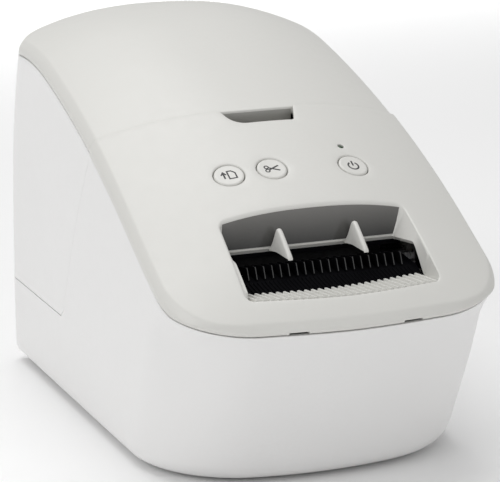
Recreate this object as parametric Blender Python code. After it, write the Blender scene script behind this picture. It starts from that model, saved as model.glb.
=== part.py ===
"""Desktop label printer: a white case on rubber feet, an arched warm-grey top, a hinged lid over the
label roll, and the feed, print and cutting mechanism inside.

X runs across the width, -Y is the front, +Z is up, and the origin is on the table under the centre of
the case. Sizes are in millimetres, and MM turns them into metres where a mesh is made. Heights count
from a datum DATUM_Z above the table, so the feet reach below zero.
"""

import math

import bmesh
import bpy
from mathutils import Matrix, Vector

MM = 0.001

# Driving dimensions.
WIDTH = 125.0
DEPTH = 213.0
HEIGHT = 142.0
DATUM_Z = 3.8
TAPE_WIDTH = 62.0
WALL = 2.5
GAP = 0.3
UNDER_GAP = 0.6

# Plan outline of the case.
FRONT_BOW = 8.0
FRONT_BOW_LOW = 15.0
FRONT_CORNER_R = 27.5
FRONT_CORNER_R_LOW = 37.0
REAR_CORNER_R = 12.0
REAR_CORNER_R_LOW = 4.0
CASE_BOTTOM = -2.6
BOTTOM_ROUND = 7.0
WIDEST_Z = 66.0
SIDE_DRAFT = 1.4
FRONT_UNDERCUT = 25.0
FRONT_UNDERCUT_TOP = 63.0

# Top surface: the centre line climbs from the front edge to the crest, and arches across the width.
FRONT_EDGE_Z = 62.4
CREST_Y = 80.0
ARCH_REAR = 14.0
ARCH_FRONT = 6.5
ARCH_POWER = 2.4
ARCH_LENGTH = 45.0
REAR_DROP = 6.3
REAR_DROP_START = 58.0
REAR_DROP_LENGTH = 45.0
REAR_DROP_POWER = 2.0
FRONT_DIP = 3.0
FRONT_DIP_START = -80.0
FRONT_DIP_LENGTH = 26.5
FRONT_DIP_POWER = 1.5
SKIN = 2.6
BAND = 4.6
RIM = 1.8
PANEL_PROUD = 0.9
PROUD_FROM_Y = -88.0
PROUD_FADE = 38.0

# Seam between the control panel and the lid, and the lid's edge on the side walls.
SEAM_CENTRE_Y = -11.0
SEAM_SIDE_Y = -1.0
LID_EDGE_TOP = (SEAM_SIDE_Y, 103.0)
LID_EDGE_LOW = (31.0, 40.0)
LID_EDGE_CORNER = (37.0, 32.0)

# Lid hinge.
HINGE_Y = 101.3
HINGE_Z = 40.0
BARREL_R = 5.2
BARREL_HALF = 47.7
BOSS_R = 4.6
BOSS_OUT = 53.0
PIN_R = 1.6
PIN_BORE_R = 2.0
LID_SWEEP_R = 8.0

# Label outlet in the control panel.
OUTLET_TOP_Y = -63.2
OUTLET_FRONT_Y = -94.0
OUTLET_BOW = 3.1
BOW_HALF = 33.0
OUTLET_HALF_TOP = 35.0
OUTLET_HALF_FRONT = 36.0
OUTLET_INNER_HALF = 33.6
LEDGE_Z = 68.6
LEDGE_INNER_Y = -85.0
BACK_WALL_FOOT = 77.8
FIN_X = 14.3

# Clip notches in the foot of the control panel.
CLIP_X = 21.2
CLIP_HALF = 3.6
CLIP_TOP_Z = 58.25

# Buttons: centre x and y of each, and the shared press direction.
BUTTON_R = 5.45
BUTTON_TRAVEL = 0.8
BUTTONS = {"feed": (-23.7, -44.7), "cut": (-7.5, -45.1), "power": (23.8, -45.5)}
BOARD_DEPTH = 11.5
SWITCH_TOP = 4.6
LIGHT_XY = (23.3, -35.3)
LIGHT_R = 1.0
PANEL_TILT = math.radians(26.3)
PRESS = Vector((0.0, math.sin(PANEL_TILT), -math.cos(PANEL_TILT)))

# Finger recess in front of the seam.
GRIP_HALF_REAR = 14.6
GRIP_HALF_FRONT = 11.5
GRIP_DEPTH_Y = 8.6

# Mechanism axes as (y, z), all running along X.
PLATEN = (-44.0, 66.0)
PLATEN_R = 6.0
FEED_MOTOR = (-44.0, 38.0)
ROLL = (48.0, 62.0)
ROLL_R = 40.0
SPOOL_R = 9.0
JOURNAL_R = 5.0
GEAR_MODULE = 0.7
PINION_TEETH = 12
IDLER_TEETH = 30
PLATEN_TEETH = 26
GEAR_X = (-54.5, -50.5)
RACK_MODULE = 0.8
CUTTER_TEETH = 10
BLADE_Y = (-60.5, -59.0)
PLATE_X = 46.0
PLATE_T = 1.2
HEAD_PIVOT = (-16.0, 77.5)

FRONT_Y = -DEPTH / 2
REAR_Y = DEPTH / 2
LIFT = Vector((0.0, 0.0, DATUM_Z))


def clear_scene():
    for obj in list(bpy.data.objects):
        bpy.data.objects.remove(obj, do_unlink=True)


def material(name, colour, roughness, metallic=0.0):
    made = bpy.data.materials.new(name)
    made.use_nodes = True
    shader = made.node_tree.nodes["Principled BSDF"]
    shader.inputs["Base Color"].default_value = (*colour, 1.0)
    shader.inputs["Roughness"].default_value = roughness
    shader.inputs["Metallic"].default_value = metallic
    made.diffuse_color = (*colour, 1.0)
    return made


def add_mesh(name, points, faces, look, origin=(0, 0, 0), merge=False):
    """An object made of points in millimetres, with its own origin at the point given."""
    start = Vector(origin)
    mesh = bpy.data.meshes.new(name)
    mesh.from_pydata([(Vector(p) - start) * MM for p in points], [], faces)
    shape = bmesh.new()
    shape.from_mesh(mesh)
    if merge:
        bmesh.ops.remove_doubles(shape, verts=shape.verts, dist=1e-6)
    bmesh.ops.recalc_face_normals(shape, faces=shape.faces)
    shape.to_mesh(mesh)
    shape.free()
    obj = bpy.data.objects.new(name, mesh)
    obj.location = (start + LIFT) * MM
    bpy.context.scene.collection.objects.link(obj)
    if look:
        mesh.materials.append(look)
    mesh.shade_smooth()
    mesh.set_sharp_from_angle(angle=math.radians(30))
    return obj


def on_axis(axis, along, pair):
    """The point at a distance along an axis, with its other two coordinates in X, Y, Z order."""
    first, second = pair
    return {"x": (along, first, second), "y": (first, along, second), "z": (first, second, along)}[axis]


def tube_of(name, rings, look, origin=(0, 0, 0), ring_closed=False, merge=False, parted_at=None):
    """Rings of equal length joined one to the next, either capped at both ends or closed on themselves.

    Two surfaces that each close up on a line of their own are parted at the ring where the first ends.
    """
    count = len(rings[0])
    points = [p for ring in rings for p in ring]
    faces = []
    last = len(rings) if ring_closed else len(rings) - 1
    for k in range(last):
        if k == parted_at:
            continue
        here, there = k * count, (k + 1) % len(rings) * count
        for i in range(count):
            j = (i + 1) % count
            faces.append((here + i, here + j, there + j, there + i))
    if not ring_closed:
        faces.append(tuple(range(count))[::-1])
        faces.append(tuple(range((len(rings) - 1) * count, len(rings) * count)))
    return add_mesh(name, points, faces, look, origin, merge)


def prism(name, axis, outline, low, high, look, origin=(0, 0, 0)):
    rings = [[on_axis(axis, along, pair) for pair in outline] for along in (low, high)]
    return tube_of(name, rings, look, origin)


def block(name, low, high, look, origin=(0, 0, 0)):
    outline = [(low[0], low[1]), (high[0], low[1]), (high[0], high[1]), (low[0], high[1])]
    return prism(name, "z", outline, low[2], high[2], look, origin)


def circle(centre, radius, count, start=0.0):
    turns = [start + 2 * math.pi * i / count for i in range(count)]
    return [(centre[0] + radius * math.cos(a), centre[1] + radius * math.sin(a)) for a in turns]


def arc(centre, radius, first, last, count):
    """Points on an arc, with its angles in degrees."""
    angles = [math.radians(first + (last - first) * i / (count - 1)) for i in range(count)]
    return [(centre[0] + radius * math.cos(a), centre[1] + radius * math.sin(a)) for a in angles]


def turned(name, axis, centre, profile, look, count=24, origin=None):
    """A profile of (radius, distance along) turned about an axis: a solid's starts and ends on the axis."""
    rings = [[on_axis(axis, s, pair) for pair in circle(centre, r, count)] for r, s in profile]
    hollow = min(r for r, _ in profile) > 0
    if origin is None:
        origin = on_axis(axis, profile[0][1], centre)
    return tube_of(name, rings, look, origin, ring_closed=hollow, merge=not hollow)


def rod(name, axis, centre, radius, low, high, look, count=24, origin=None):
    outline = circle(centre, radius, count)
    return prism(name, axis, outline, low, high, look, origin or on_axis(axis, low, centre))


def ring(name, axis, centre, inner, outer, low, high, look, count=24, origin=None):
    profile = [(outer, low), (outer, high), (inner, high), (inner, low)]
    return turned(name, axis, centre, profile, look, count, origin)


def hide(helper):
    helper.hide_render = True
    helper.display_type = "WIRE"
    return helper


def boolean(target, operation, helper):
    cut = target.modifiers.new(f"{operation.title()} {helper.name}", "BOOLEAN")
    cut.operation = operation
    cut.solver = "EXACT"
    cut.object = hide(helper)


def cut_away(target, *helpers):
    for helper in helpers:
        boolean(target, "DIFFERENCE", helper)


def add_on(target, *helpers):
    for helper in helpers:
        boolean(target, "UNION", helper)


# The case surfaces ------------------------------------------------------------------------------------


def half_width(z):
    """Half the case's width at a height: drafted in below the widest level, and leaning in above it."""
    if z < WIDEST_Z:
        return WIDTH / 2 - SIDE_DRAFT * lowness(z, WIDEST_Z) ** 1.5
    return WIDTH / 2 - 3.4 * ((z - WIDEST_Z) / 60.0) ** 1.6


def lowness(z, top):
    """0 at the top height and above, rising to 1 at the case's bottom edge."""
    return min(1.0, max(0.0, (top - z) / (top - CASE_BOTTOM)))


def blended(high, low, z):
    share = lowness(z, WIDEST_Z)
    return high + (low - high) * share


def front_at(z):
    return FRONT_Y + FRONT_UNDERCUT * lowness(z, FRONT_UNDERCUT_TOP)


def tucked_in(z):
    """0 level with the panel's rim, 1 a little way down the front wall, and more towards the table."""
    below = max(0.0, FRONT_UNDERCUT_TOP - z)
    return min(1.0, below / 10.0) + 0.6 * max(0.0, below - 30.0) / 35.0


def bottom_tuck(z):
    """How far the case's rounded bottom edge has turned in at a height."""
    share = max(0.0, 1.0 - (z - CASE_BOTTOM) / BOTTOM_ROUND)
    return BOTTOM_ROUND * (1.0 - math.sqrt(max(0.0, 1.0 - min(1.0, share) ** 2)))


def rear_at(z):
    return REAR_Y - 2.5 * (max(0.0, z - 90.0) / 35.0) ** 2


def half_outline(z, inset):
    """Points from the front centre round the right-hand side to the rear centre."""
    inset += bottom_tuck(z)
    half, front, rear = half_width(z) - inset, front_at(z) + inset, rear_at(z) - inset
    bow_r = (WIDTH / 2) ** 2 / (2 * blended(FRONT_BOW, FRONT_BOW_LOW, z)) - inset
    corner_r = FRONT_CORNER_R + (FRONT_CORNER_R_LOW - FRONT_CORNER_R) * tucked_in(z) - inset
    back_r = max(0.6, blended(REAR_CORNER_R, REAR_CORNER_R_LOW, z) - inset)
    corner_x = half - corner_r
    corner_y = front + bow_r - math.sqrt((bow_r - corner_r) ** 2 - corner_x**2)
    lean = math.degrees(math.atan2(corner_y - front - bow_r, corner_x))
    bow = arc((0.0, front + bow_r), bow_r, -90.0, lean, 5)
    corner = arc((corner_x, corner_y), corner_r, lean, 0.0, 8)
    back_x, back_y = half - back_r, rear - back_r
    side = [(half, corner_y + (back_y - corner_y) * i / 10) for i in range(1, 10)]
    back_corner = arc((back_x, back_y), back_r, 0.0, 90.0, 5)
    back = [(back_x * 0.5, rear), (0.0, rear)]
    return bow[:-1] + corner + side + back_corner + back


HALF_COUNT = len(half_outline(0.0, 0.0))
STATIONS = 2 * HALF_COUNT - 2


def station(index, z, inset=0.0):
    """One point of the full outline: indexes run up the right-hand side and back down the left."""
    mirrored = index >= HALF_COUNT
    x, y = half_outline(z, inset)[STATIONS - index if mirrored else index]
    return (-x if mirrored else x), y


def arch_at(y):
    share = max(0.0, (y - FRONT_Y) / ARCH_LENGTH) ** 0.8
    return ARCH_FRONT + (ARCH_REAR - ARCH_FRONT) * share / (1.0 + share**10) ** 0.1


def proud_at(y):
    """How far the control panel stands proud of the lid, fading out towards its front edge."""
    share = min(1.0, max(0.0, (y - PROUD_FROM_Y) / PROUD_FADE))
    return PANEL_PROUD * share**2 * (3.0 - 2.0 * share)


def top_z(x, y, panel=False):
    """Height of the outside of the top surface, of the lid or of the control panel."""
    s = (y - FRONT_Y) / (CREST_Y - FRONT_Y)
    climb = 1.78 * s - 1.02 * s**2 + 0.24 * s**3
    centre = FRONT_EDGE_Z + (HEIGHT + 0.1 - FRONT_EDGE_Z) * climb
    drop = REAR_DROP * (max(0.0, y - REAR_DROP_START) / REAR_DROP_LENGTH) ** REAR_DROP_POWER
    drop += FRONT_DIP * (max(0.0, FRONT_DIP_START - y) / FRONT_DIP_LENGTH) ** FRONT_DIP_POWER
    rise = proud_at(y) if panel else 0.0
    return centre + rise - drop - arch_at(y) * min(1.0, abs(x) / (WIDTH / 2)) ** ARCH_POWER


def band_foot(index):
    """Height of the band's lower edge at a station, where the outline and the top surface agree."""
    z = 80.0
    for _ in range(12):
        z = top_z(*station(index, z)) - BAND
    return z


FEET = [band_foot(i) for i in range(STATIONS)]
WALL_LEVELS = (0.0, 0.006, 0.02, 0.05, 0.14, 0.3, 0.5, 0.72, 0.86, 0.93, 1.0)


def wall_tube(name, look):
    """The case's side wall all round, from its bottom edge up to the grey band."""

    def at(share, inset):
        heights = [CASE_BOTTOM + share * (foot - GAP / 2 - CASE_BOTTOM) for foot in FEET]
        return [(*station(i, z, inset), z) for i, z in enumerate(heights)]

    outside = [at(share, 0.0) for share in WALL_LEVELS]
    inside = [at(share, WALL) for share in reversed(WALL_LEVELS)]
    return tube_of(name, outside + inside, look, ring_closed=True)


def spine(y):
    return (0.0, min(78.0, max(-72.0, y)))


def edge_point(index, above_foot, inset, panel):
    """A station beside the top surface: the panel's is wider than the lid's by part of its rise."""
    z = FEET[index] + above_foot
    x, y = station(index, z, inset)
    return station(index, z, inset - 0.6 * proud_at(y)) if panel else (x, y)


def crown(index, share, lower=0.0, panel=False):
    """A point on the top surface between the rim, share 0, and the spine, share 1."""
    x, y = edge_point(index, BAND, 2.2, panel)
    sx, sy = spine(y)
    x, y = x + (sx - x) * share, y + (sy - y) * share
    return x, y, top_z(x, y, panel) - lower


CROWN_SHARES = (0.0, 0.22, 0.46, 0.72, 1.0)


def outside_rings(panel):
    """Rings up the band, over the rounded rim and across the top surface to its spine."""
    rings = []
    for above in (GAP / 2, BAND - RIM):
        edge = [edge_point(i, above, 0.0, panel) for i in range(STATIONS)]
        rings.append([(x, y, FEET[i] + above) for i, (x, y) in enumerate(edge)])
    shoulder = [edge_point(i, BAND, 0.6, panel) for i in range(STATIONS)]
    rings.append([(x, y, top_z(x, y, panel) - 0.5) for x, y in shoulder])
    rings += [[crown(i, share, 0.0, panel) for i in range(STATIONS)] for share in CROWN_SHARES]
    return rings


def skin(name, look, panel):
    shares = CROWN_SHARES[:0:-1]
    inner = [[crown(i, share, SKIN, panel) for i in range(STATIONS)] for share in shares]
    edge = [edge_point(i, BAND, WALL + 0.4, panel) for i in range(STATIONS)]
    inner.append([(x, y, top_z(x, y, panel) - SKIN) for x, y in edge])
    foot = [edge_point(i, 0.0, WALL, panel) for i in range(STATIONS)]
    inner.append([(x, y, FEET[i] + GAP / 2) for i, (x, y) in enumerate(foot)])
    outer = outside_rings(panel)
    return tube_of(name, outer + inner, look, ring_closed=True, merge=True, parted_at=len(outer) - 1)


def envelope(name, lift, panel=True):
    """A solid filled up to the panel's or the lid's surface, raised or lowered by the lift."""
    rings = outside_rings(panel)
    floor = [(x, y, 20.0 - lift) for x, y, _ in rings[0]]
    rings = [[(x, y, z + lift) for x, y, z in loop] for loop in [floor, *rings]]
    points = [p for loop in rings for p in loop]
    count, faces = STATIONS, [tuple(range(STATIONS))[::-1]]
    for k in range(len(rings) - 1):
        for i in range(count):
            j = (i + 1) % count
            faces.append((k * count + i, k * count + j, (k + 1) * count + j, (k + 1) * count + i))
    return add_mesh(name, points, faces, None, merge=True)


def lid_region(name, grow):
    """The part of the case that belongs to the lid, seen from the side, made larger by grow."""
    low_y, low_z = LID_EDGE_LOW
    corner_y, corner_z = LID_EDGE_CORNER
    outline = [(LID_EDGE_TOP[0] - grow, 170.0), (LID_EDGE_TOP[0] - grow, LID_EDGE_TOP[1])]
    outline += [(low_y - grow, low_z), (low_y + 1.6 - grow, low_z - 4.4), (corner_y, corner_z - grow)]
    outline += arc((HINGE_Y, HINGE_Z), LID_SWEEP_R + grow, -90.0, -38.0, 6)
    outline += [(130.0, outline[-1][1]), (130.0, 170.0)]
    return prism(name, "x", outline, -90.0, 90.0, None)


def seam_region(name, grow):
    """Everything in front of the seam across the top, made larger by grow."""
    xs = [-90.0] + [WIDTH / 2 * i / 8 for i in range(-8, 9)] + [90.0]
    line = [(x, seam_y(x) + grow) for x in xs]
    return prism(name, "z", [(-90.0, -150.0), *line, (90.0, -150.0)][::-1], 40.0, 170.0, None)


def seam_y(x):
    return SEAM_CENTRE_Y + (SEAM_SIDE_Y - SEAM_CENTRE_Y) * min(1.0, abs(x) / (WIDTH / 2)) ** 2


# Case parts -------------------------------------------------------------------------------------------


def make_housing(look):
    housing = wall_tube("lower_housing", look)
    cut_away(housing, lid_region("lid_opening", GAP / 2))
    roll = [(103.7, 24.0), (106.2, 24.0), (106.2, HINGE_Z)]
    roll += arc((HINGE_Y, HINGE_Z), BARREL_R, 20.0, 270.0, 12) + [(103.7, HINGE_Z - 4.6)]
    add_on(housing, prism("hinge_roll", "x", roll, -BARREL_HALF, BARREL_HALF, None))
    bore = rod("hinge_roll_bore", "x", (HINGE_Y, HINGE_Z), PIN_BORE_R, -60.0, 60.0, None, 16)
    inlet = block("inlet_opening", (-45.0, 98.0, 11.0), (-21.0, 112.0, 27.0), None)
    usb = block("usb_opening", (23.0, 98.0, 12.0), (37.0, 112.0, 25.0), None)
    cut_away(housing, bore, inlet, usb)


def make_lid_shell(look):
    shell = wall_tube("lid_shell", look)
    boolean(shell, "INTERSECT", lid_region("lid_keep", -GAP / 2))
    notch = block("hinge_notch", (-48.2, 95.0, 20.0), (48.2, 115.0, 45.7), None)
    cut_away(shell, notch)
    for side in (-1, 1):
        low, high = sorted((side * 48.2, side * BOSS_OUT))
        centre = (HINGE_Y, HINGE_Z)
        name = f"hinge_boss_{'left' if side < 0 else 'right'}"
        add_on(shell, rod(name, "x", centre, BOSS_R, low, high, None, 20))
    cut_away(shell, rod("boss_bore", "x", (HINGE_Y, HINGE_Z), PIN_BORE_R, -60.0, 60.0, None, 16))


def outlet_outline(grow):
    """The outlet's outline in plan, with its four corners rounded."""
    corners = [
        (-OUTLET_HALF_FRONT, OUTLET_FRONT_Y, 3.0, 180.0),
        (OUTLET_HALF_FRONT, OUTLET_FRONT_Y, 3.0, 270.0),
        (OUTLET_HALF_TOP, OUTLET_TOP_Y, 2.5, 0.0),
        (-OUTLET_HALF_TOP, OUTLET_TOP_Y, 2.5, 90.0),
    ]
    outline = []
    for x, y, radius, first in corners:
        inward = (math.copysign(radius, -x), math.copysign(radius, -(y + 80.0)))
        centre = (x + inward[0], y + inward[1])
        outline += arc(centre, radius + grow, first, first + 90.0, 4)
        if first == 180.0:
            for k in range(-3, 4):
                outline.append((9.0 * k, y - grow - OUTLET_BOW * (1.0 - (9.0 * k / BOW_HALF) ** 2)))
    return outline


def grip_outline(grow):
    front = SEAM_CENTRE_Y - GRIP_DEPTH_Y - grow
    low, high = GRIP_HALF_FRONT + grow, GRIP_HALF_REAR + grow
    rear = SEAM_CENTRE_Y + 6.0
    return [(-high, rear), (-high, SEAM_CENTRE_Y), (-low, front), (low, front), (high, SEAM_CENTRE_Y), (high, rear)]


def press_frame(x, y, lower=0.0):
    """The point on the top surface at x, y, moved down the press direction."""
    return Vector((x, y, top_z(x, y, panel=True))) + PRESS * lower


def tilted_cylinder(name, at, radius, above, below, look, count=24):
    """A cylinder along the press direction, with its origin on the top surface."""
    turn = Matrix.Rotation(PANEL_TILT, 4, "X")
    ends = [[turn @ Vector((*p, z)) + at for p in circle((0.0, 0.0), radius, count)] for z in (-below, above)]
    return tube_of(name, ends, look, origin=at)


def make_front_panel(look):
    panel = skin("front_panel", look, panel=True)
    boolean(panel, "INTERSECT", seam_region("panel_keep", -GAP / 2))
    cut_away(panel, prism("outlet_cut", "z", outlet_outline(0.0), 50.0, 120.0, None))
    cut_away(panel, prism("grip_cut", "z", grip_outline(0.0), 90.0, 140.0, None))
    for name, (x, y) in BUTTONS.items():
        hole = tilted_cylinder(f"{name}_hole", press_frame(x, y), BUTTON_R + GAP, 8.0, 8.0, None)
        cut_away(panel, hole)
    cut_away(panel, tilted_cylinder("light_hole", press_frame(*LIGHT_XY), LIGHT_R + GAP, 8.0, 8.0, None, 12))
    for side in (-1, 1):
        middle = side * CLIP_X
        low = (middle - CLIP_HALF, FRONT_Y - 4.0, CLIP_TOP_Z - 6.0)
        high = (middle + CLIP_HALF, FRONT_Y + 8.0, CLIP_TOP_Z)
        cut_away(panel, block(f"clip_notch_{'left' if side < 0 else 'right'}", low, high, None))


def make_lid_skin(look):
    lid = skin("lid_skin", look, panel=False)
    cut_away(lid, seam_region("lid_skin_cut", GAP / 2))


def make_outlet(look):
    sill = LEDGE_INNER_Y + 0.9
    body = [(-99.0, 61.3), (sill, 61.3), (sill, 66.0), (-60.9, 66.0), (-60.9, 100.0), (-99.0, 100.0)]
    tray = prism("label_outlet", "x", body, -38.4, 38.4, look)
    front = OUTLET_FRONT_Y - OUTLET_BOW
    hollow = [(front, LEDGE_Z), (front, 99.0), (OUTLET_TOP_Y - 0.4, 99.0)]
    hollow += [(OUTLET_TOP_Y - 1.2, BACK_WALL_FOOT), (-58.0, BACK_WALL_FOOT), (-58.0, 60.0)]
    hollow += [(LEDGE_INNER_Y, 60.0), (LEDGE_INNER_Y, LEDGE_Z)]
    half = OUTLET_INNER_HALF + 1.2
    cut_away(tray, prism("outlet_hollow", "x", hollow, -half, half, None))
    cut_away(tray, block("rack_clearance", (36.2, -63.4, 60.0), (42.0, -55.0, 78.8), None))
    boolean(tray, "INTERSECT", envelope("under_skin", -SKIN - UNDER_GAP))
    fin = [(-62.4, 78.6), (-64.2, 78.6), (-67.3, 85.6), (-69.2, 85.6)]
    fin += [(-78.6, 78.4), (-78.6, 77.2), (-62.4, 77.2)]
    for side in (-1, 1):
        name = f"fin_{'left' if side < 0 else 'right'}"
        add_on(tray, prism(name, "x", fin, side * FIN_X - 0.8, side * FIN_X + 0.8, None))


def make_label_guide(look):
    outline = [(-84.6, 58.0), (-84.6, 66.8), (-78.0, 69.4), (-63.2, 71.4), (-63.2, 66.0), (-74.0, 58.0)]
    prism("label_guide", "x", outline, -OUTLET_INNER_HALF, OUTLET_INNER_HALF, look)


def make_grip_pocket(look):
    """The cup under the finger recess, open at its top and towards the lid."""
    rear = SEAM_CENTRE_Y - 0.6
    outer = [(-16.6, rear), (-13.6, -21.8), (13.6, -21.8), (16.6, rear)]
    inner = [(-15.2, rear + 5.0), (-12.3, -20.4), (12.3, -20.4), (15.2, rear + 5.0)]
    cup = prism("grip_pocket", "z", outer, 99.0, 118.0, look)
    boolean(cup, "INTERSECT", envelope("under_skin_grip", -SKIN - UNDER_GAP))
    cut_away(cup, prism("grip_hollow", "z", inner, 100.4, 130.0, None))


def board_below(at):
    """Distance from a point on the panel down to the middle of the button board."""
    return (at - press_frame(0.0, -42.0, BOARD_DEPTH)).dot(-PRESS)


def make_buttons(look, clear):
    for name, (x, y) in BUTTONS.items():
        at = press_frame(x, y)
        cap = tilted_cylinder(f"{name}_button", at, BUTTON_R, 4.0, 2.4, look, 28)
        boolean(cap, "INTERSECT", envelope(f"{name}_cap_top", 0.35))
        reach = board_below(at) - SWITCH_TOP - BUTTON_TRAVEL - GAP
        add_on(cap, tilted_cylinder(f"{name}_stem", at, 1.8, -1.0, reach, None, 12))
    light = tilted_cylinder("status_light", press_frame(*LIGHT_XY), LIGHT_R, 3.0, 9.4, clear, 12)
    boolean(light, "INTERSECT", envelope("light_top", 0.1))


def tilted_block(name, at, size, look):
    """A block lying parallel to the control panel, centred on a point."""
    x, y, z = (s / 2 for s in size)
    obj = block(name, (-x, -y, -z), (x, y, z), look)
    obj.location = (at + LIFT) * MM
    obj.rotation_euler = (PANEL_TILT, 0.0, 0.0)
    return obj


def make_button_board(board, plastic):
    tilted_block("button_board", press_frame(0.0, -42.0, BOARD_DEPTH), (66.0, 20.0, 1.6), board)
    for name, (x, y) in BUTTONS.items():
        at = press_frame(x, y)
        tall = SWITCH_TOP - 0.8 - GAP
        low = board_below(at) - SWITCH_TOP + tall / 2
        tilted_block(f"{name}_switch", at + PRESS * low, (6.0, 6.0, tall), plastic)


def make_bottom(plate_look, rubber, steel):
    def floor(z, inset):
        return [(*station(i, CASE_BOTTOM, WALL + inset), z) for i in range(STATIONS)]

    tube_of("bottom_plate", [floor(CASE_BOTTOM + 0.2, GAP), floor(CASE_BOTTOM + 2.6, GAP)], plate_look)
    spots = {"front_left": (-45, -42), "front_right": (45, -42), "rear_left": (-45, 84), "rear_right": (45, 84)}
    for name, centre in spots.items():
        low, high = -DATUM_Z, CASE_BOTTOM - 0.1
        profile = [(0.0, low), (6.2, low), (7.0, low + 0.8), (7.0, high), (0.0, high)]
        turned(f"foot_{name}", "z", centre, profile, rubber, 20)
        shift = (-math.copysign(14.0, centre[0]), 0)
        at = (centre[0] + shift[0], centre[1])
        cut_away(bpy.data.objects["bottom_plate"], rod(f"screw_hole_{name}", "z", at, 2.4, -4.0, 5.0, None, 12))
        under, top = CASE_BOTTOM - 0.9, CASE_BOTTOM - 0.1
        head = [(0.0, under), (3.6, under), (3.6, top), (1.9, top), (1.9, 4.0), (0.0, 4.0)]
        turned(f"case_screw_{name}", "z", at, head, steel, 12)


# Mechanism --------------------------------------------------------------------------------------------


def gear_outline(centre, teeth, module, phase, clearance=0.16):
    """A toothed outline whose first tooth is centred on the phase angle."""
    pitch_r = teeth * module / 2
    outer, root = pitch_r + 0.9 * module, pitch_r - 1.15 * module
    step = 2 * math.pi / teeth
    tip_half, foot_half = step * (0.17 - clearance / 4), step * (0.36 - clearance / 2)
    outline = []
    for tooth in range(teeth):
        middle = phase + tooth * step
        for radius, turn in ((root, -foot_half), (outer, -tip_half), (outer, tip_half), (root, foot_half)):
            angle = middle + turn
            outline.append((centre[0] + radius * math.cos(angle), centre[1] + radius * math.sin(angle)))
    return outline


def gear(name, centre, teeth, module, phase, bore, span, look):
    outline = gear_outline(centre, teeth, module, phase)
    inner = circle(centre, bore, len(outline), phase - 0.36 * 2 * math.pi / teeth)
    loops = [(outline, span[0]), (outline, span[1]), (inner, span[1]), (inner, span[0])]
    rings = [[on_axis("x", along, pair) for pair in loop] for loop, along in loops]
    return tube_of(name, rings, look, on_axis("x", span[0], centre), ring_closed=True)


def meshing_phase(driver, driven, driver_teeth, driven_teeth, driver_phase):
    """The phase that puts a gap of the driven gear over a tooth of its driver."""
    toward = math.atan2(driven[1] - driver[1], driven[0] - driver[0])
    off = driver_phase - toward
    return toward + math.pi + math.pi / driven_teeth - off * driver_teeth / driven_teeth


def idler_centre():
    """Where the idler gear meshes with both the motor pinion and the platen gear."""
    near = GEAR_MODULE * (PINION_TEETH + IDLER_TEETH) / 2
    far = GEAR_MODULE * (PLATEN_TEETH + IDLER_TEETH) / 2
    span = PLATEN[1] - FEED_MOTOR[1]
    up = (span**2 + near**2 - far**2) / (2 * span)
    return FEED_MOTOR[0] + math.sqrt(near**2 - up**2), FEED_MOTOR[1] + up


def make_feed(steel, rubber, gear_look, bearing_look, motor_look):
    idler = idler_centre()
    shaft = [(2.0, -55.5), (2.0, -38.0), (2.6, -38.0), (2.6, 38.0), (2.0, 38.0), (2.0, 49.0)]
    turned("platen_shaft", "x", PLATEN, [(0.0, -55.5), *shaft, (0.0, 49.0)], steel, 20)
    ring("platen_roller", "x", PLATEN, 2.9, PLATEN_R, -33.0, 33.0, rubber, 28)
    for name, low in (("left", -PLATE_X - PLATE_T - 0.6), ("right", PLATE_X - 1.2)):
        ring(f"platen_bearing_{name}", "x", PLATEN, 2.3, 4.4, low, low + 3.0, bearing_look, 20)
    first = 0.0
    second = meshing_phase(FEED_MOTOR, idler, PINION_TEETH, IDLER_TEETH, first)
    third = meshing_phase(idler, PLATEN, IDLER_TEETH, PLATEN_TEETH, second)
    gear("motor_pinion", FEED_MOTOR, PINION_TEETH, GEAR_MODULE, first, 1.5, GEAR_X, gear_look)
    gear("idler_gear", idler, IDLER_TEETH, GEAR_MODULE, second, 2.3, GEAR_X, gear_look)
    gear("platen_gear", PLATEN, PLATEN_TEETH, GEAR_MODULE, third, 2.3, GEAR_X, gear_look)
    rod("idler_axle", "x", idler, 1.9, -55.5, -PLATE_X - PLATE_T - GAP, steel, 16)
    body = [(0.0, -22.0), (16.0, -22.0), (16.0, -45.6), (1.2, -45.6), (1.2, -55.0), (0.0, -55.0)]
    turned("feed_motor", "x", FEED_MOTOR, body, motor_look, 28)


def make_side_plates(look):
    outline = [(-64.0, 12.0), (-76.0, 50.0), (-72.0, 60.0), (-60.0, 64.0), (-60.0, 78.0)]
    outline += [(-44.0, 86.0), (-10.0, 88.0), (-4.0, 70.0), (-4.0, 12.0)]
    for name, low in (("left", -PLATE_X - PLATE_T), ("right", PLATE_X)):
        plate = prism(f"side_plate_{name}", "x", outline, low, low + PLATE_T, look)
        bearing = rod(f"bearing_hole_{name}", "x", PLATEN, 4.7, low - 4.0, low + 4.0, None, 20)
        pivot = rod(f"pivot_hole_{name}", "x", HEAD_PIVOT, 1.9, low - 4.0, low + 4.0, None, 16)
        cut_away(plate, bearing, pivot)
        if name == "left":
            cut_away(plate, rod("motor_shaft_hole", "x", FEED_MOTOR, 2.2, low - 4.0, low + 4.0, None, 16))
        else:
            cut_away(plate, rod("cutter_shaft_hole", "x", cutter_axis(), 2.2, low - 4.0, low + 4.0, None, 16))


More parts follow.
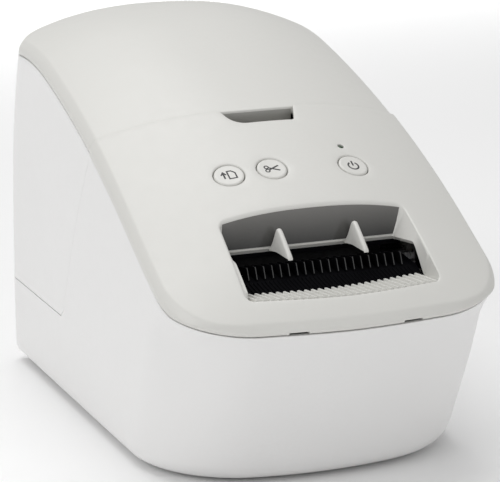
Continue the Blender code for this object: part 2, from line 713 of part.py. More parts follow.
def make_print_head(ceramic, aluminium, steel, spring_look):
    head_y = (PLATEN[0] - 7.0, PLATEN[0] + 7.0)
    block("print_head", (-34.0, head_y[0], 72.4), (34.0, head_y[1], 73.8), ceramic)
    sink = block("heat_sink", (-35.0, head_y[0] - 1.0, 74.1), (35.0, head_y[1] + 2.0, 78.4), aluminium)
    for i in range(5):
        low = head_y[0] + 1.4 + i * 3.0
        cut_away(sink, block(f"sink_slot_{i}", (-40.0, low, 75.8), (40.0, low + 1.4, 85.0), None))
    arm_y, arm_z = HEAD_PIVOT
    sheet = [(head_y[0] - 1.0, 78.7), (head_y[1] + 5.0, 78.7), (arm_y + 3.0, arm_z - 3.2), (arm_y + 4.6, arm_z)]
    sheet += [(arm_y + 3.0, arm_z + 3.2), (head_y[1] + 5.0, 79.9), (head_y[0] - 1.0, 79.9)]
    bracket = prism("head_bracket", "x", sheet, -36.0, 36.0, steel, origin=(0.0, *HEAD_PIVOT))
    cut_away(bracket, rod("bracket_bore", "x", HEAD_PIVOT, 1.9, -40.0, 40.0, None, 16))
    cut_away(bracket, block("bracket_window", (-26.0, -31.0, 70.0), (26.0, -24.0, 95.0), None))
    rod("head_pivot_pin", "x", HEAD_PIVOT, 1.5, -49.0, 49.0, steel, 16)
    for name, x in (("left", -22.0), ("right", 22.0)):
        coil_spring(f"head_spring_{name}", (x, PLATEN[0]), 80.2, 85.3, spring_look)
    bar = [(-50.0, 85.6), (-38.0, 85.6), (-38.0, 87.0), (-50.0, 87.0)]
    prism("head_crossbar", "x", bar, -PLATE_X + GAP, PLATE_X - GAP, steel)


def coil_spring(name, centre, low, high, look, turns=3, radius=2.4, wire=0.45):
    """A compression spring standing along Z, swept round a helix."""
    steps, sides = turns * 12, 6
    rings = []
    rise = (high - low - 2 * wire) / steps
    slope = math.atan2(rise * 12, 2 * math.pi * radius)
    for k in range(steps + 1):
        angle = 2 * math.pi * k / 12
        out = Vector((math.cos(angle), math.sin(angle), 0.0))
        along = Vector((-math.sin(angle) * math.cos(slope), math.cos(angle) * math.cos(slope), math.sin(slope)))
        up = out.cross(along)
        middle = Vector((*centre, low + wire + k * rise)) + out * radius
        turn = [2 * math.pi * i / sides for i in range(sides)]
        rings.append([middle + wire * (math.cos(t) * out + math.sin(t) * up) for t in turn])
    return tube_of(name, rings, look, origin=(*centre, low))


def cutter_axis():
    return BLADE_Y[0] - CUTTER_TEETH * RACK_MODULE / 2 - 1.0, 60.5


def make_cutter(steel, gear_look, motor_look):
    block("fixed_blade", (-36.0, -58.6, 73.6), (36.0, -57.2, 79.8), steel)
    edge = [(-35.0, 52.0), (41.5, 52.0), (41.5, 70.0), (35.0, 70.0), (35.0, 71.0), (-35.0, 68.6)]
    blade = prism("moving_blade", "y", edge, BLADE_Y[0], BLADE_Y[1], steel, origin=(0.0, BLADE_Y[0], 70.0))
    pitch, axis = math.pi * RACK_MODULE, cutter_axis()
    line = axis[0] + CUTTER_TEETH * RACK_MODULE / 2
    root, tip = line + 1.15 * RACK_MODULE, line - 0.9 * RACK_MODULE
    rack = [(BLADE_Y[0] + 0.8, 52.2), (root, 52.2)]
    for k in range(-4, 3):
        middle = axis[1] + (k + 0.5) * pitch
        if middle + 0.3 * pitch < 69.8:
            rack += [(root, middle - 0.27 * pitch), (tip, middle - 0.12 * pitch)]
            rack += [(tip, middle + 0.12 * pitch), (root, middle + 0.27 * pitch)]
    rack += [(root, 69.8), (BLADE_Y[0] + 0.8, 69.8)]
    add_on(blade, prism("blade_rack", "x", rack, 37.0, 41.2, None))
    gear("cutter_pinion", axis, CUTTER_TEETH, RACK_MODULE, 0.0, 1.5, (37.3, 41.0), gear_look)
    body = [(0.0, 58.0), (9.0, 58.0), (9.0, 47.6), (1.2, 47.6), (1.2, 36.0), (0.0, 36.0)]
    turned("cutter_motor", "x", axis, body, motor_look, 24)


def make_roll_bay(look):
    radius, half = 46.0, 40.0
    span = arc(ROLL, radius + WALL, 180.0, 360.0, 15)
    bay = prism("roll_bay", "x", [*span, (ROLL[0] + radius + WALL, 66.0), (ROLL[0] - radius - WALL, 66.0)],
                -half - WALL, half + WALL, look)
    inner = arc(ROLL, radius, 180.0, 360.0, 15)
    inner += [(ROLL[0] + radius, 80.0), (ROLL[0] - radius, 80.0)]
    cut_away(bay, prism("bay_hollow", "x", inner, -half, half, None))
    notch = arc(ROLL, JOURNAL_R + GAP, 180.0, 360.0, 9)
    notch += [(ROLL[0] + JOURNAL_R + GAP, 80.0), (ROLL[0] - JOURNAL_R - GAP, 80.0)]
    cut_away(bay, prism("journal_notch", "x", notch, -60.0, 60.0, None))


def make_label_roll(spool_look, core_look, paper_look):
    half = TAPE_WIDTH / 2
    profile = [(0.0, -42.2), (JOURNAL_R, -42.2), (JOURNAL_R, -36.0), (14.0, -36.0), (14.0, -33.0)]
    profile += [(SPOOL_R, -33.0), (SPOOL_R, 33.0), (14.0, 33.0), (14.0, 36.0), (JOURNAL_R, 36.0)]
    profile += [(JOURNAL_R, 42.2), (0.0, 42.2)]
    turned("label_spool", "x", ROLL, profile, spool_look, 28)
    ring("label_core", "x", ROLL, 9.7, 12.2, -half - 0.6, half + 0.6, core_look, 28)
    ring("label_paper", "x", ROLL, 12.6, ROLL_R, -half, half, paper_look, 40)


def make_electronics(board, plastic, metal, dark):
    block("main_board", (-42.0, -72.0, 12.0), (42.0, -8.0, 13.6), board)
    for name, x in (("left", -38.0), ("right", 38.0)):
        hole = rod(f"board_hole_{name}", "z", (x, -14.0), 1.8, 8.0, 18.0, None, 12)
        cut_away(bpy.data.objects["main_board"], hole)
        head = [(0.0, 6.4), (1.5, 6.4), (1.5, 13.9), (2.8, 13.9), (2.8, 15.4), (0.0, 15.4)]
        turned(f"board_screw_{name}", "z", (x, -14.0), head, metal, 12)
    block("power_supply", (-40.0, -3.0, 8.0), (40.0, 14.0, 26.0), dark)
    inlet = block("power_inlet", (-44.6, 86.0, 11.4), (-21.4, 106.0, 26.6), plastic)
    cut_away(inlet, block("inlet_socket", (-42.4, 92.0, 14.4), (-23.6, 110.0, 23.6), None))
    for i, x in enumerate((-37.0, -29.0)):
        add_on(inlet, rod(f"inlet_pin_{i}", "y", (x, 19.0), 1.2, 90.0, 101.0, None, 10))
    usb = block("usb_socket", (23.4, 88.0, 12.4), (36.6, 105.6, 24.6), metal)
    cut_away(usb, block("usb_mouth", (24.6, 92.0, 13.6), (35.4, 110.0, 23.4), None))
    add_on(usb, block("usb_tongue", (27.0, 90.0, 17.0), (33.0, 102.0, 20.0), None))


def make_hinge_and_hooks(steel, plastic):
    rod("hinge_pin", "x", (HINGE_Y, HINGE_Z), PIN_R, -BOSS_OUT + 0.4, BOSS_OUT - 0.4, steel, 16)
    for name, side in (("left", -1), ("right", 1)):
        low, high = sorted((side * 40.0, side * 44.0))
        hook = [(2.0, 96.0), (0.2, 97.4), (2.0, 99.0), (2.0, 120.0), (5.0, 120.0), (5.0, 96.0)]
        tab = prism(f"lid_hook_{name}", "x", hook, low, high, plastic)
        boolean(tab, "INTERSECT", envelope(f"under_lid_{name}", -SKIN - UNDER_GAP, panel=False))
    catch = [(-3.6, 88.3), (-3.6, 96.5), (-0.6, 96.5), (-0.6, 92.0), (0.2, 88.3)]
    prism("lid_catch", "x", catch, -PLATE_X - PLATE_T, PLATE_X + PLATE_T, steel)


def main():
    clear_scene()
    white = material("white_plastic", (0.82, 0.82, 0.81), 0.42)
    grey = material("grey_plastic", (0.72, 0.71, 0.68), 0.45)
    pale = material("outlet_plastic", (0.70, 0.69, 0.66), 0.45)
    black = material("black_plastic", (0.02, 0.02, 0.02), 0.5)
    dark = material("dark_plastic", (0.09, 0.09, 0.1), 0.55)
    rubber = material("rubber", (0.03, 0.03, 0.03), 0.85)
    steel = material("steel", (0.6, 0.6, 0.62), 0.3, 1.0)
    aluminium = material("aluminium", (0.75, 0.76, 0.78), 0.35, 1.0)
    gears = material("gear_plastic", (0.85, 0.84, 0.78), 0.4)
    motor = material("motor_can", (0.45, 0.45, 0.47), 0.35, 1.0)
    board = material("circuit_board", (0.05, 0.22, 0.12), 0.5)
    ceramic = material("ceramic", (0.9, 0.89, 0.85), 0.3)
    paper = material("label_paper", (0.9, 0.9, 0.87), 0.8)
    card = material("card", (0.55, 0.43, 0.29), 0.85)
    light = material("light_pipe", (0.35, 0.5, 0.35), 0.2)

    make_housing(white)
    make_lid_shell(white)
    make_front_panel(grey)
    make_lid_skin(grey)
    make_outlet(pale)
    make_label_guide(black)
    make_grip_pocket(pale)
    make_buttons(grey, light)
    make_button_board(board, black)
    make_bottom(dark, rubber, steel)
    make_side_plates(steel)
    make_feed(steel, rubber, gears, gears, motor)
    make_print_head(ceramic, aluminium, steel, steel)
    make_cutter(steel, gears, motor)
    make_roll_bay(dark)
    make_label_roll(black, card, paper)
    make_electronics(board, black, steel, dark)
    make_hinge_and_hooks(steel, dark)


main()
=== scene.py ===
import math

import bmesh
import bpy
import numpy as np
from mathutils import Matrix, Vector
from mathutils.geometry import delaunay_2d_cdt


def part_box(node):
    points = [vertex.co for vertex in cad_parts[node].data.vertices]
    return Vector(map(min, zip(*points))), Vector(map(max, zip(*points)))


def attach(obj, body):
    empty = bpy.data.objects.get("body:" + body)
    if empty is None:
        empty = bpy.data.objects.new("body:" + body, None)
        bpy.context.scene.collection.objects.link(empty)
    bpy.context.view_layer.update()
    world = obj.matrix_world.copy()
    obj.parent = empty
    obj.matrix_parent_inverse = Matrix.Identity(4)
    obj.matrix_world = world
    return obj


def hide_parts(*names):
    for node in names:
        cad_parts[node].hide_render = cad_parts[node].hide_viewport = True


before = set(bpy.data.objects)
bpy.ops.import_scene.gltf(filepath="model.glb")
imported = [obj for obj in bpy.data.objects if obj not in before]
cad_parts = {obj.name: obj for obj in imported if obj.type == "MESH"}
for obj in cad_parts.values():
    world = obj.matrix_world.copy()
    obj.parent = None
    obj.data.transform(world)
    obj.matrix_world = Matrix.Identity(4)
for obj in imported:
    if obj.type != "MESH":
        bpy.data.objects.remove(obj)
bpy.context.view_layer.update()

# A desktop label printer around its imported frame. Sizes are in millimetres until a mesh is made, and
# heights count from a datum above the table, as they do in the CAD.
MM = 0.001
DATUM_Z = 3.8
SHARP_ANGLE = 35.0

# The case: its box, its walls, and how its outline changes with height.
WIDTH, DEPTH, HEIGHT = 125.0, 213.0, 142.0
WALL, SKIN, BAND, GAP = 2.5, 2.6, 4.6, 0.3
EDGE_GAP = GAP * 0.85
FRONT_Y, REAR_Y = -DEPTH / 2, DEPTH / 2
FRONT_BOW, FRONT_BOW_LOW = 8.0, 15.0
FRONT_CORNER_R, FRONT_CORNER_R_LOW = 27.5, 37.0
REAR_CORNER_R, REAR_CORNER_R_LOW = 12.0, 4.0
CASE_BOTTOM, BOTTOM_ROUND = -2.6, 7.0
WIDEST_Z, SIDE_DRAFT = 66.0, 1.4
TOP_DRAFT, TOP_DRAFT_HEIGHT = 3.4, 60.0
FRONT_UNDERCUT, FRONT_UNDERCUT_TOP = 25.0, 63.0
REAR_LEAN, REAR_LEAN_START, REAR_LEAN_HEIGHT = 2.5, 90.0, 35.0

# The arched top: its climb from the front edge to the crest, and its arch from side to side.
FRONT_EDGE_Z, CREST_Y, CREST_Z = 62.4, 80.0, HEIGHT + 0.1
CLIMB = (1.78, -1.02, 0.24)
ARCH_REAR, ARCH_FRONT, ARCH_POWER, ARCH_LENGTH = 14.0, 6.5, 2.4, 45.0
REAR_DROP, REAR_DROP_START, REAR_DROP_LENGTH = 6.3, 58.0, 45.0
FRONT_DIP, FRONT_DIP_START, FRONT_DIP_LENGTH = 3.0, -80.0, 26.5
PANEL_PROUD, PROUD_START, PROUD_LENGTH = 0.9, -88.0, 38.0

# The seam between the panel and the lid, the lid's side edge, and its hinge.
SEAM_CENTRE_Y, SEAM_SIDE_Y = -11.0, -1.0
LID_EDGE_TOP, LID_EDGE_LOW, LID_EDGE_CORNER = (-1.0, 103.0), (31.0, 40.0), (37.0, 32.0)
HINGE = (101.3, 40.0)
HINGE_BORE_R, LID_HEEL_R = 2.0, 8.0

# What sits in the panel. The buttons press square to its slope.
OUTLET_TOP_Y, OUTLET_FRONT_Y, OUTLET_BOW = -63.2, -94.0, 3.1
OUTLET_HALF_TOP, OUTLET_HALF_FRONT, OUTLET_TOP_R, OUTLET_FRONT_R = 35.0, 36.0, 2.5, 3.0
FIN_X = 14.3
CLIP_X, CLIP_HALF, CLIP_TOP_Z, CLIP_HEIGHT = 21.2, 3.6, 58.25, 6.0
BUTTON_R = 5.45
BUTTONS = {"feed": (-23.7, -44.7), "cut": (-7.5, -45.1), "power": (23.8, -45.5)}
LIGHT_XY, LIGHT_R = (23.3, -35.3), 1.0
PANEL_TILT = math.radians(26.3)
PRESS = Vector((0.0, math.sin(PANEL_TILT), -math.cos(PANEL_TILT)))
PANEL_ACROSS, PANEL_UP = Vector((1.0, 0.0, 0.0)), Vector((0.0, -PRESS.z, PRESS.y))
GRIP_HALF_REAR, GRIP_HALF_FRONT, GRIP_DEPTH_Y = 14.6, 11.5, 8.6
ROLL = (48.0, 62.0)


def shared(value, low=0.0, high=1.0):
    return min(high, max(low, value))


def eased(share):
    share = shared(share)
    return share * share * (3.0 - 2.0 * share)


# --- Surfaces ---


def lowness(z, top):
    """How far down a height is: 0 at the top given, 1 at the case's bottom."""
    return shared((top - z) / (top - CASE_BOTTOM))


def blended(high, low, z):
    """A size between its values at the widest height and at the bottom."""
    return high + (low - high) * lowness(z, WIDEST_Z)


def half_width(z):
    if z < WIDEST_Z:
        return WIDTH / 2 - SIDE_DRAFT * lowness(z, WIDEST_Z) ** 1.5
    return WIDTH / 2 - TOP_DRAFT * ((z - WIDEST_Z) / TOP_DRAFT_HEIGHT) ** 1.6


def tucked_in(z):
    """How much rounder the front corners are below the panel."""
    below = max(0.0, FRONT_UNDERCUT_TOP - z)
    return min(1.0, below / 10.0) + 0.6 * max(0.0, below - 30.0) / 35.0


def bottom_tuck(z):
    """The inset of the rounded bottom edge."""
    share = max(0.0, 1.0 - (z - CASE_BOTTOM) / BOTTOM_ROUND)
    return BOTTOM_ROUND * (1.0 - math.sqrt(max(0.0, 1.0 - min(1.0, share) ** 2)))


def station(t, z, inset=0.0):
    """A point of the case's outline at a height.

    t is 0 at the front centre, 1 to 2 round the front corner, 3 to 4 round the rear corner and 5 at the
    rear centre, and the same below 0 on the left.
    """
    side = -1.0 if t < 0 else 1.0
    t = abs(t)
    inset += bottom_tuck(z)
    half = half_width(z) - inset
    front = FRONT_Y + FRONT_UNDERCUT * lowness(z, FRONT_UNDERCUT_TOP) + inset
    rear = REAR_Y - REAR_LEAN * (max(0.0, z - REAR_LEAN_START) / REAR_LEAN_HEIGHT) ** 2 - inset
    bow_r = (WIDTH / 2) ** 2 / (2 * blended(FRONT_BOW, FRONT_BOW_LOW, z)) - inset
    corner_r = FRONT_CORNER_R + (FRONT_CORNER_R_LOW - FRONT_CORNER_R) * tucked_in(z) - inset
    back_r = max(0.6, blended(REAR_CORNER_R, REAR_CORNER_R_LOW, z) - inset)
    corner_x = half - corner_r
    corner_y = front + bow_r - math.sqrt((bow_r - corner_r) ** 2 - corner_x**2)
    lean = math.atan2(corner_y - front - bow_r, corner_x)
    if t <= 1.0:
        angle = -math.pi / 2 + (lean + math.pi / 2) * t
        x, y = bow_r * math.cos(angle), front + bow_r + bow_r * math.sin(angle)
    elif t <= 2.0:
        angle = lean * (2.0 - t)
        x, y = corner_x + corner_r * math.cos(angle), corner_y + corner_r * math.sin(angle)
    elif t <= 3.0:
        x, y = half, corner_y + (rear - back_r - corner_y) * (t - 2.0)
    elif t <= 4.0:
        angle = math.pi / 2 * (t - 3.0)
        x, y = half - back_r + back_r * math.cos(angle), rear - back_r + back_r * math.sin(angle)
    else:
        x, y = (half - back_r) * (5.0 - t), rear
    return side * x, y


def arch_at(y):
    """How far the top's side edges lie below its centre line."""
    share = shared((y - FRONT_Y) / ARCH_LENGTH, 0.0, 4.0) ** 0.8
    return ARCH_FRONT + (ARCH_REAR - ARCH_FRONT) * share / (1.0 + share**10) ** 0.1


def proud_at(y):
    """How far the panel stands proud of the case."""
    return PANEL_PROUD * eased((y - PROUD_START) / PROUD_LENGTH)


def top_z(x, y, panel=False):
    """Height of the arched top over a point of the plan."""
    s = (y - FRONT_Y) / (CREST_Y - FRONT_Y)
    climb = CLIMB[0] * s + CLIMB[1] * s**2 + CLIMB[2] * s**3
    centre = FRONT_EDGE_Z + (CREST_Z - FRONT_EDGE_Z) * climb
    drop = REAR_DROP * (max(0.0, y - REAR_DROP_START) / REAR_DROP_LENGTH) ** 2
    drop += FRONT_DIP * (max(0.0, FRONT_DIP_START - y) / FRONT_DIP_LENGTH) ** 1.5
    rise = proud_at(y) if panel else 0.0
    return centre + rise - drop - arch_at(y) * min(1.0, abs(x) / (WIDTH / 2)) ** ARCH_POWER


def foot(t):
    """Height of the grey band's lower edge at a station, found step by step."""
    z = 80.0
    for _ in range(12):
        z = top_z(*station(t, z)) - BAND
    return z


def seam_y(x):
    """The middle of the seam between the panel and the lid."""
    return SEAM_CENTRE_Y + (SEAM_SIDE_Y - SEAM_CENTRE_Y) * min(1.0, abs(x) / (WIDTH / 2)) ** 2


def on_panel(at, p, q, lift=0.0):
    """The point p across and q up the panel from a point of it, lifted off its surface."""
    base = at + PANEL_ACROSS * p + PANEL_UP * q
    rise = 0.0
    for _ in range(8):
        point = base - PRESS * rise
        rise += (top_z(point.x, point.y, panel=True) - point.z) * -PRESS.z
    return base - PRESS * (rise + lift)


def panel_point(x, y):
    return Vector((x, y, top_z(x, y, panel=True)))


# --- Meshes ---


def circle(radius, count):
    angles = [2 * math.pi * i / count for i in range(count)]
    return [(radius * math.cos(a), radius * math.sin(a)) for a in angles]


def arc(centre, radius, first, last, count):
    """Points along an arc from one angle to another, in degrees."""
    angles = [math.radians(first + (last - first) * i / (count - 1)) for i in range(count)]
    return [(centre[0] + radius * math.cos(a), centre[1] + radius * math.sin(a)) for a in angles]


def add_to_scene(name, data):
    obj = bpy.data.objects.new(name, data)
    bpy.context.scene.collection.objects.link(obj)
    return obj


def shade(mesh, sharp=SHARP_ANGLE):
    mesh.shade_smooth()
    mesh.set_sharp_from_angle(angle=math.radians(sharp))


def make_object(name, points, faces, look, sharp=SHARP_ANGLE):
    """A mesh object of points in millimetres, with its faces pointing out."""
    mesh = bpy.data.meshes.new(name)
    mesh.from_pydata([(p[0] * MM, p[1] * MM, (p[2] + DATUM_Z) * MM) for p in points], [], faces)
    shape = bmesh.new()
    shape.from_mesh(mesh)
    bmesh.ops.remove_doubles(shape, verts=shape.verts, dist=2e-6)
    bmesh.ops.recalc_face_normals(shape, faces=shape.faces)
    shape.to_mesh(mesh)
    shape.free()
    if look:
        mesh.materials.append(look.made)
    shade(mesh, sharp)
    return add_to_scene(name, mesh)


def tube_of(name, rings, look, closed=False, sharp=SHARP_ANGLE):
    """Rings of equal length joined one to the next, capped at both ends or closed on themselves."""
    count = len(rings[0])
    faces = []
    for k in range(len(rings) if closed else len(rings) - 1):
        here, there = k * count, (k + 1) % len(rings) * count
        for i in range(count):
            j = (i + 1) % count
            faces.append((here + i, here + j, there + j, there + i))
    if not closed:
        faces.append(tuple(range(count))[::-1])
        faces.append(tuple(range((len(rings) - 1) * count, len(rings) * count)))
    return make_object(name, [p for ring in rings for p in ring], faces, look, sharp=sharp)


def prism(name, outline, low, high, look=None):
    """An outline of (y, z) points extruded along X."""
    return tube_of(name, [[(x, *p) for p in outline] for x in (low, high)], look)


def turned(name, centre, profile, look=None, count=32):
    """A profile of (radius, distance along X) turned about an axis through (y, z)."""
    rings = [[(x, centre[0] + p, centre[1] + q) for p, q in circle(r, count)] for r, x in profile]
    return tube_of(name, rings, look, closed=min(r for r, _ in profile) > 0)


def settle(obj):
    """Applies an object's modifiers and removes the helpers that they used."""
    helpers = [m.object for m in obj.modifiers if m.type == "BOOLEAN"]
    seen = obj.evaluated_get(bpy.context.evaluated_depsgraph_get())
    mesh = bpy.data.meshes.new_from_object(seen)
    obj.modifiers.clear()
    obj.data = mesh
    for helper in helpers:
        bpy.data.objects.remove(helper)
    shade(mesh)
    return obj


def cut(obj, helper, operation="DIFFERENCE"):
    change = obj.modifiers.new(helper.name, "BOOLEAN")
    change.operation, change.solver, change.object = operation, "EXACT", helper


def box_tool(name, low, high):
    outline = [(low[1], low[2]), (high[1], low[2]), (high[1], high[2]), (low[1], high[2])]
    return prism(name, outline, low[0], high[0])


def inside(loops, points):
    """Which points of the plan an odd number of the loops goes round."""
    hit = np.zeros(len(points), bool)
    x, y = points[:, 0], points[:, 1]
    for loop in loops:
        for (ax, ay), (bx, by) in zip(loop, loop[1:] + loop[:1]):
            if ay != by:
                hit ^= ((ay > y) != (by > y)) & (x < (bx - ax) * (y - ay) / (by - ay) + ax)
    return hit


class Shell:
    """An outer surface with an inner one behind it, point for point, closed round every free edge."""

    def __init__(self):
        self.outer, self.inner, self.faces = [], [], []

    def add(self, outer, inner):
        """Adds a point of the outer surface with the one behind it, and returns its number."""
        self.outer.append(tuple(outer))
        self.inner.append(tuple(inner))
        return len(self.outer) - 1

    def strip(self, rows, closed=False):
        """Faces between rows of points already there."""
        for low, high in zip(rows, rows[1:]):
            count = len(low)
            for i in range(count if closed else count - 1):
                j = (i + 1) % count
                self.faces.append((low[i], low[j], high[j], high[i]))

    def fill(self, loops, spacing, place):
        """Triangles between loops of points already there, over an even grid of new ones."""
        flat = [[self.outer[i][:2] for i in loop] for loop in loops]
        known = [i for loop in loops for i in loop]
        points = [p for loop in flat for p in loop]
        edges = []
        for loop in flat:
            start, count = len(edges), len(loop)
            edges += [(start + k, start + (k + 1) % count) for k in range(count)]
        border = np.array(points)
        low, high = border.min(0), border.max(0)
        grid = []
        for row in range(int((high[1] - low[1]) / spacing) + 1):
            shift = spacing / 2 * (row % 2)
            y = low[1] + row * spacing
            grid += [(x, y) for x in np.arange(low[0] + shift, high[0], spacing)]
        grid = np.array(grid)
        grid = grid[inside(flat, grid)]
        apart = np.array([np.hypot(*(border - p).T).min() for p in grid])
        grid = grid[apart > 0.6 * spacing]
        every = [Vector(p) for p in points] + [Vector(p) for p in grid]
        verts, _, faces, sources = delaunay_2d_cdt(every, edges, [], 0, 1e-5)[:4]
        index = []
        for k, source in enumerate(sources):
            if source and source[0] < len(known):
                index.append(known[source[0]])
            else:
                x, y = grid[source[0] - len(known)] if source else verts[k]
                index.append(self.add(*place(float(x), float(y))))
        middles = np.array([[sum(verts[i][a] for i in f) / len(f) for a in (0, 1)] for f in faces])
        for face, kept in zip(faces, inside(flat, middles)):
            if kept:
                self.faces.append(tuple(index[i] for i in face))

    def build(self, name, look):
        """The closed object: both surfaces, and a wall along each edge that only one face uses."""
        count, uses = len(self.outer), {}
        for face in self.faces:
            for a, b in zip(face, face[1:] + face[:1]):
                uses.setdefault(frozenset((a, b)), []).append((a, b))
        faces = self.faces + [tuple(i + count for i in face[::-1]) for face in self.faces]
        for used in uses.values():
            if len(used) == 1:
                a, b = used[0]
                faces.append((b, a, a + count, b + count))
        return make_object(name, self.outer + self.inner, faces, look)


# --- Materials ---


def set_values(node, values):
    for key, value in values.items():
        node.inputs[key].default_value = value


class Look:
    """A procedural material with its nodes added one at a time."""

    def __init__(self, name, colour, roughness, metallic=0.0):
        self.made = bpy.data.materials.new(name)
        self.made.use_nodes = True
        self.tree = self.made.node_tree
        self.shader = self.tree.nodes["Principled BSDF"]
        self.colour = (*colour, 1.0)
        set_values(self.shader, {"Base Color": self.colour, "Roughness": roughness, "Metallic": metallic})
        self.roughness = roughness
        self.place = self.tree.nodes.new("ShaderNodeTexCoord").outputs["Object"]
        self.height = None

    def node(self, kind, values, **settings):
        """Adds a node, with values for its inputs and settings of its own."""
        made = self.tree.nodes.new(kind)
        for key, value in settings.items():
            setattr(made, key, value)
        set_values(made, values)
        return made

    def link(self, source, target):
        self.tree.links.new(source, target)

    def moved(self, location=(0, 0, 0), scale=(1, 1, 1)):
        mapping = self.node("ShaderNodeMapping", {"Location": location, "Scale": scale})
        self.link(self.place, mapping.inputs["Vector"])
        return mapping.outputs["Vector"]

    def noise(self, scale, detail=3.0, rough=0.55, stretch=None):
        """Fine noise whose scale is in cells per metre."""
        made = self.node("ShaderNodeTexNoise", {"Scale": scale, "Detail": detail, "Roughness": rough})
        self.link(self.moved(scale=stretch) if stretch else self.place, made.inputs["Vector"])
        return made.outputs["Fac"]

    def height_up(self):
        """Height above the table, in metres."""
        split = self.node("ShaderNodeSeparateXYZ", {})
        self.link(self.place, split.inputs["Vector"])
        return split.outputs["Z"]

    def spread(self, source, low, high, from_low=0.3, from_high=0.7):
        """The source's values mapped onto the range from low to high."""
        ends = {"From Min": from_low, "From Max": from_high, "To Min": low, "To Max": high}
        made = self.node("ShaderNodeMapRange", ends)
        self.link(source, made.inputs["Value"])
        return made.outputs["Result"]

    def tint(self, source, amount, to=None, from_low=0.3, from_high=0.7):
        """The colour shifts towards another, by default a darker one, where the source is high."""
        to = to or tuple(c * (1.0 - amount) for c in self.colour[:3])
        mix = self.node("ShaderNodeMix", {}, data_type="RGBA")
        before = self.shader.inputs["Base Color"]
        if before.is_linked:
            self.link(before.links[0].from_socket, mix.inputs["A"])
        else:
            mix.inputs["A"].default_value = self.colour
        mix.inputs["B"].default_value = (*to, 1.0)
        self.link(self.spread(source, 0.0, 1.0, from_low, from_high), mix.inputs["Factor"])
        self.link(mix.outputs["Result"], before)

    def polish(self, source, amount):
        """The roughness varies with the source, by an amount either way."""
        low, high = self.roughness - amount, self.roughness + amount
        self.link(self.spread(source, low, high), self.shader.inputs["Roughness"])

    def bump(self, source, strength, distance):
        """Relief on top of any relief already there, with its depth in metres."""
        made = self.node("ShaderNodeBump", {"Strength": strength, "Distance": distance})
        self.link(source, made.inputs["Height"])
        if self.height:
            self.link(self.height, made.inputs["Normal"])
        self.height = made.outputs["Normal"]
        self.link(self.height, self.shader.inputs["Normal"])


def moulded(name, colour, roughness, grain=2600.0, depth=0.00004, shade=0.025):
    """Injection-moulded plastic: a fine eroded grain, faint cloudiness and slightly uneven gloss."""
    look = Look(name, colour, roughness)
    set_values(look.shader, {"IOR": 1.5})
    look.bump(look.noise(grain, 4.0, 0.6), 0.35, depth)
    look.bump(look.noise(9.0, 2.0), 0.12, 0.0004)
    look.tint(look.noise(14.0, 3.0), shade)
    look.tint(look.noise(grain / 3, 2.0), shade * 0.8)
    look.polish(look.noise(220.0, 3.0), 0.05)
    return look


def metal(name, colour, roughness, along="X"):
    """Rolled or turned metal, with fine marks along one direction."""
    look = Look(name, colour, roughness, 1.0)
    stretch = {"X": (30, 3200, 3200), "Z": (3200, 3200, 30)}[along]
    marks = look.noise(1.0, 3.0, 0.6, stretch)
    look.bump(marks, 0.15, 0.00003)
    look.polish(marks, 0.08)
    look.tint(look.noise(60.0, 4.0), 0.12)
    return look


def rubbery(name, colour):
    """Matt, fine-grained material for rubber and card."""
    look = Look(name, colour, 0.82)
    look.bump(look.noise(1800.0, 5.0, 0.7), 0.6, 0.00008)
    look.tint(look.noise(300.0, 4.0), 0.0, tuple(c * 1.9 for c in colour))
    look.polish(look.noise(90.0, 3.0), 0.08)
    return look


def paper_look(name, colour, centre):
    """Wound paper: thin rings on the roll's ends, and soft fibres."""
    look = Look(name, colour, 0.78)
    values = {"Scale": 560.0, "Distortion": 1.5, "Detail": 2.0}
    kind = {"wave_type": "RINGS", "rings_direction": "X", "wave_profile": "SAW"}
    rings = look.node("ShaderNodeTexWave", values, **kind)
    place = tuple(-c * MM for c in (0.0, centre[0], centre[1] + DATUM_Z))
    look.link(look.moved(location=place), rings.inputs["Vector"])
    look.tint(rings.outputs["Fac"], 0.16, from_low=0.2, from_high=0.95)
    look.bump(rings.outputs["Fac"], 0.3, 0.00006)
    look.bump(look.noise(1500.0, 5.0, 0.7), 0.3, 0.00004)
    look.polish(look.noise(260.0), 0.06)
    return look


def board_look(name, colour):
    """Circuit board: lacquer over fine copper tracks."""
    look = Look(name, colour, 0.38)
    board, track = (0, 0, 0, 1), (1, 1, 1, 1)
    values = {"Scale": 240.0, "Mortar Size": 0.045, "Color1": board, "Color2": board, "Mortar": track}
    tracks = look.node("ShaderNodeTexBrick", values)
    look.link(look.place, tracks.inputs["Vector"])
    look.tint(tracks.outputs["Color"], 0.0, (0.09, 0.34, 0.17), 0.2, 0.8)
    look.bump(tracks.outputs["Color"], 0.4, 0.00004)
    look.tint(look.noise(80.0, 4.0), 0.2)
    look.polish(look.noise(400.0), 0.08)
    return look


def glow_look(name, colour):
    """A clear plastic light pipe."""
    look = Look(name, colour, 0.2)
    set_values(look.shader, {"Transmission Weight": 0.25})
    look.tint(look.noise(900.0, 3.0), 0.15)
    look.bump(look.noise(1600.0, 3.0), 0.2, 0.00003)
    look.polish(look.noise(500.0), 0.06)
    return look


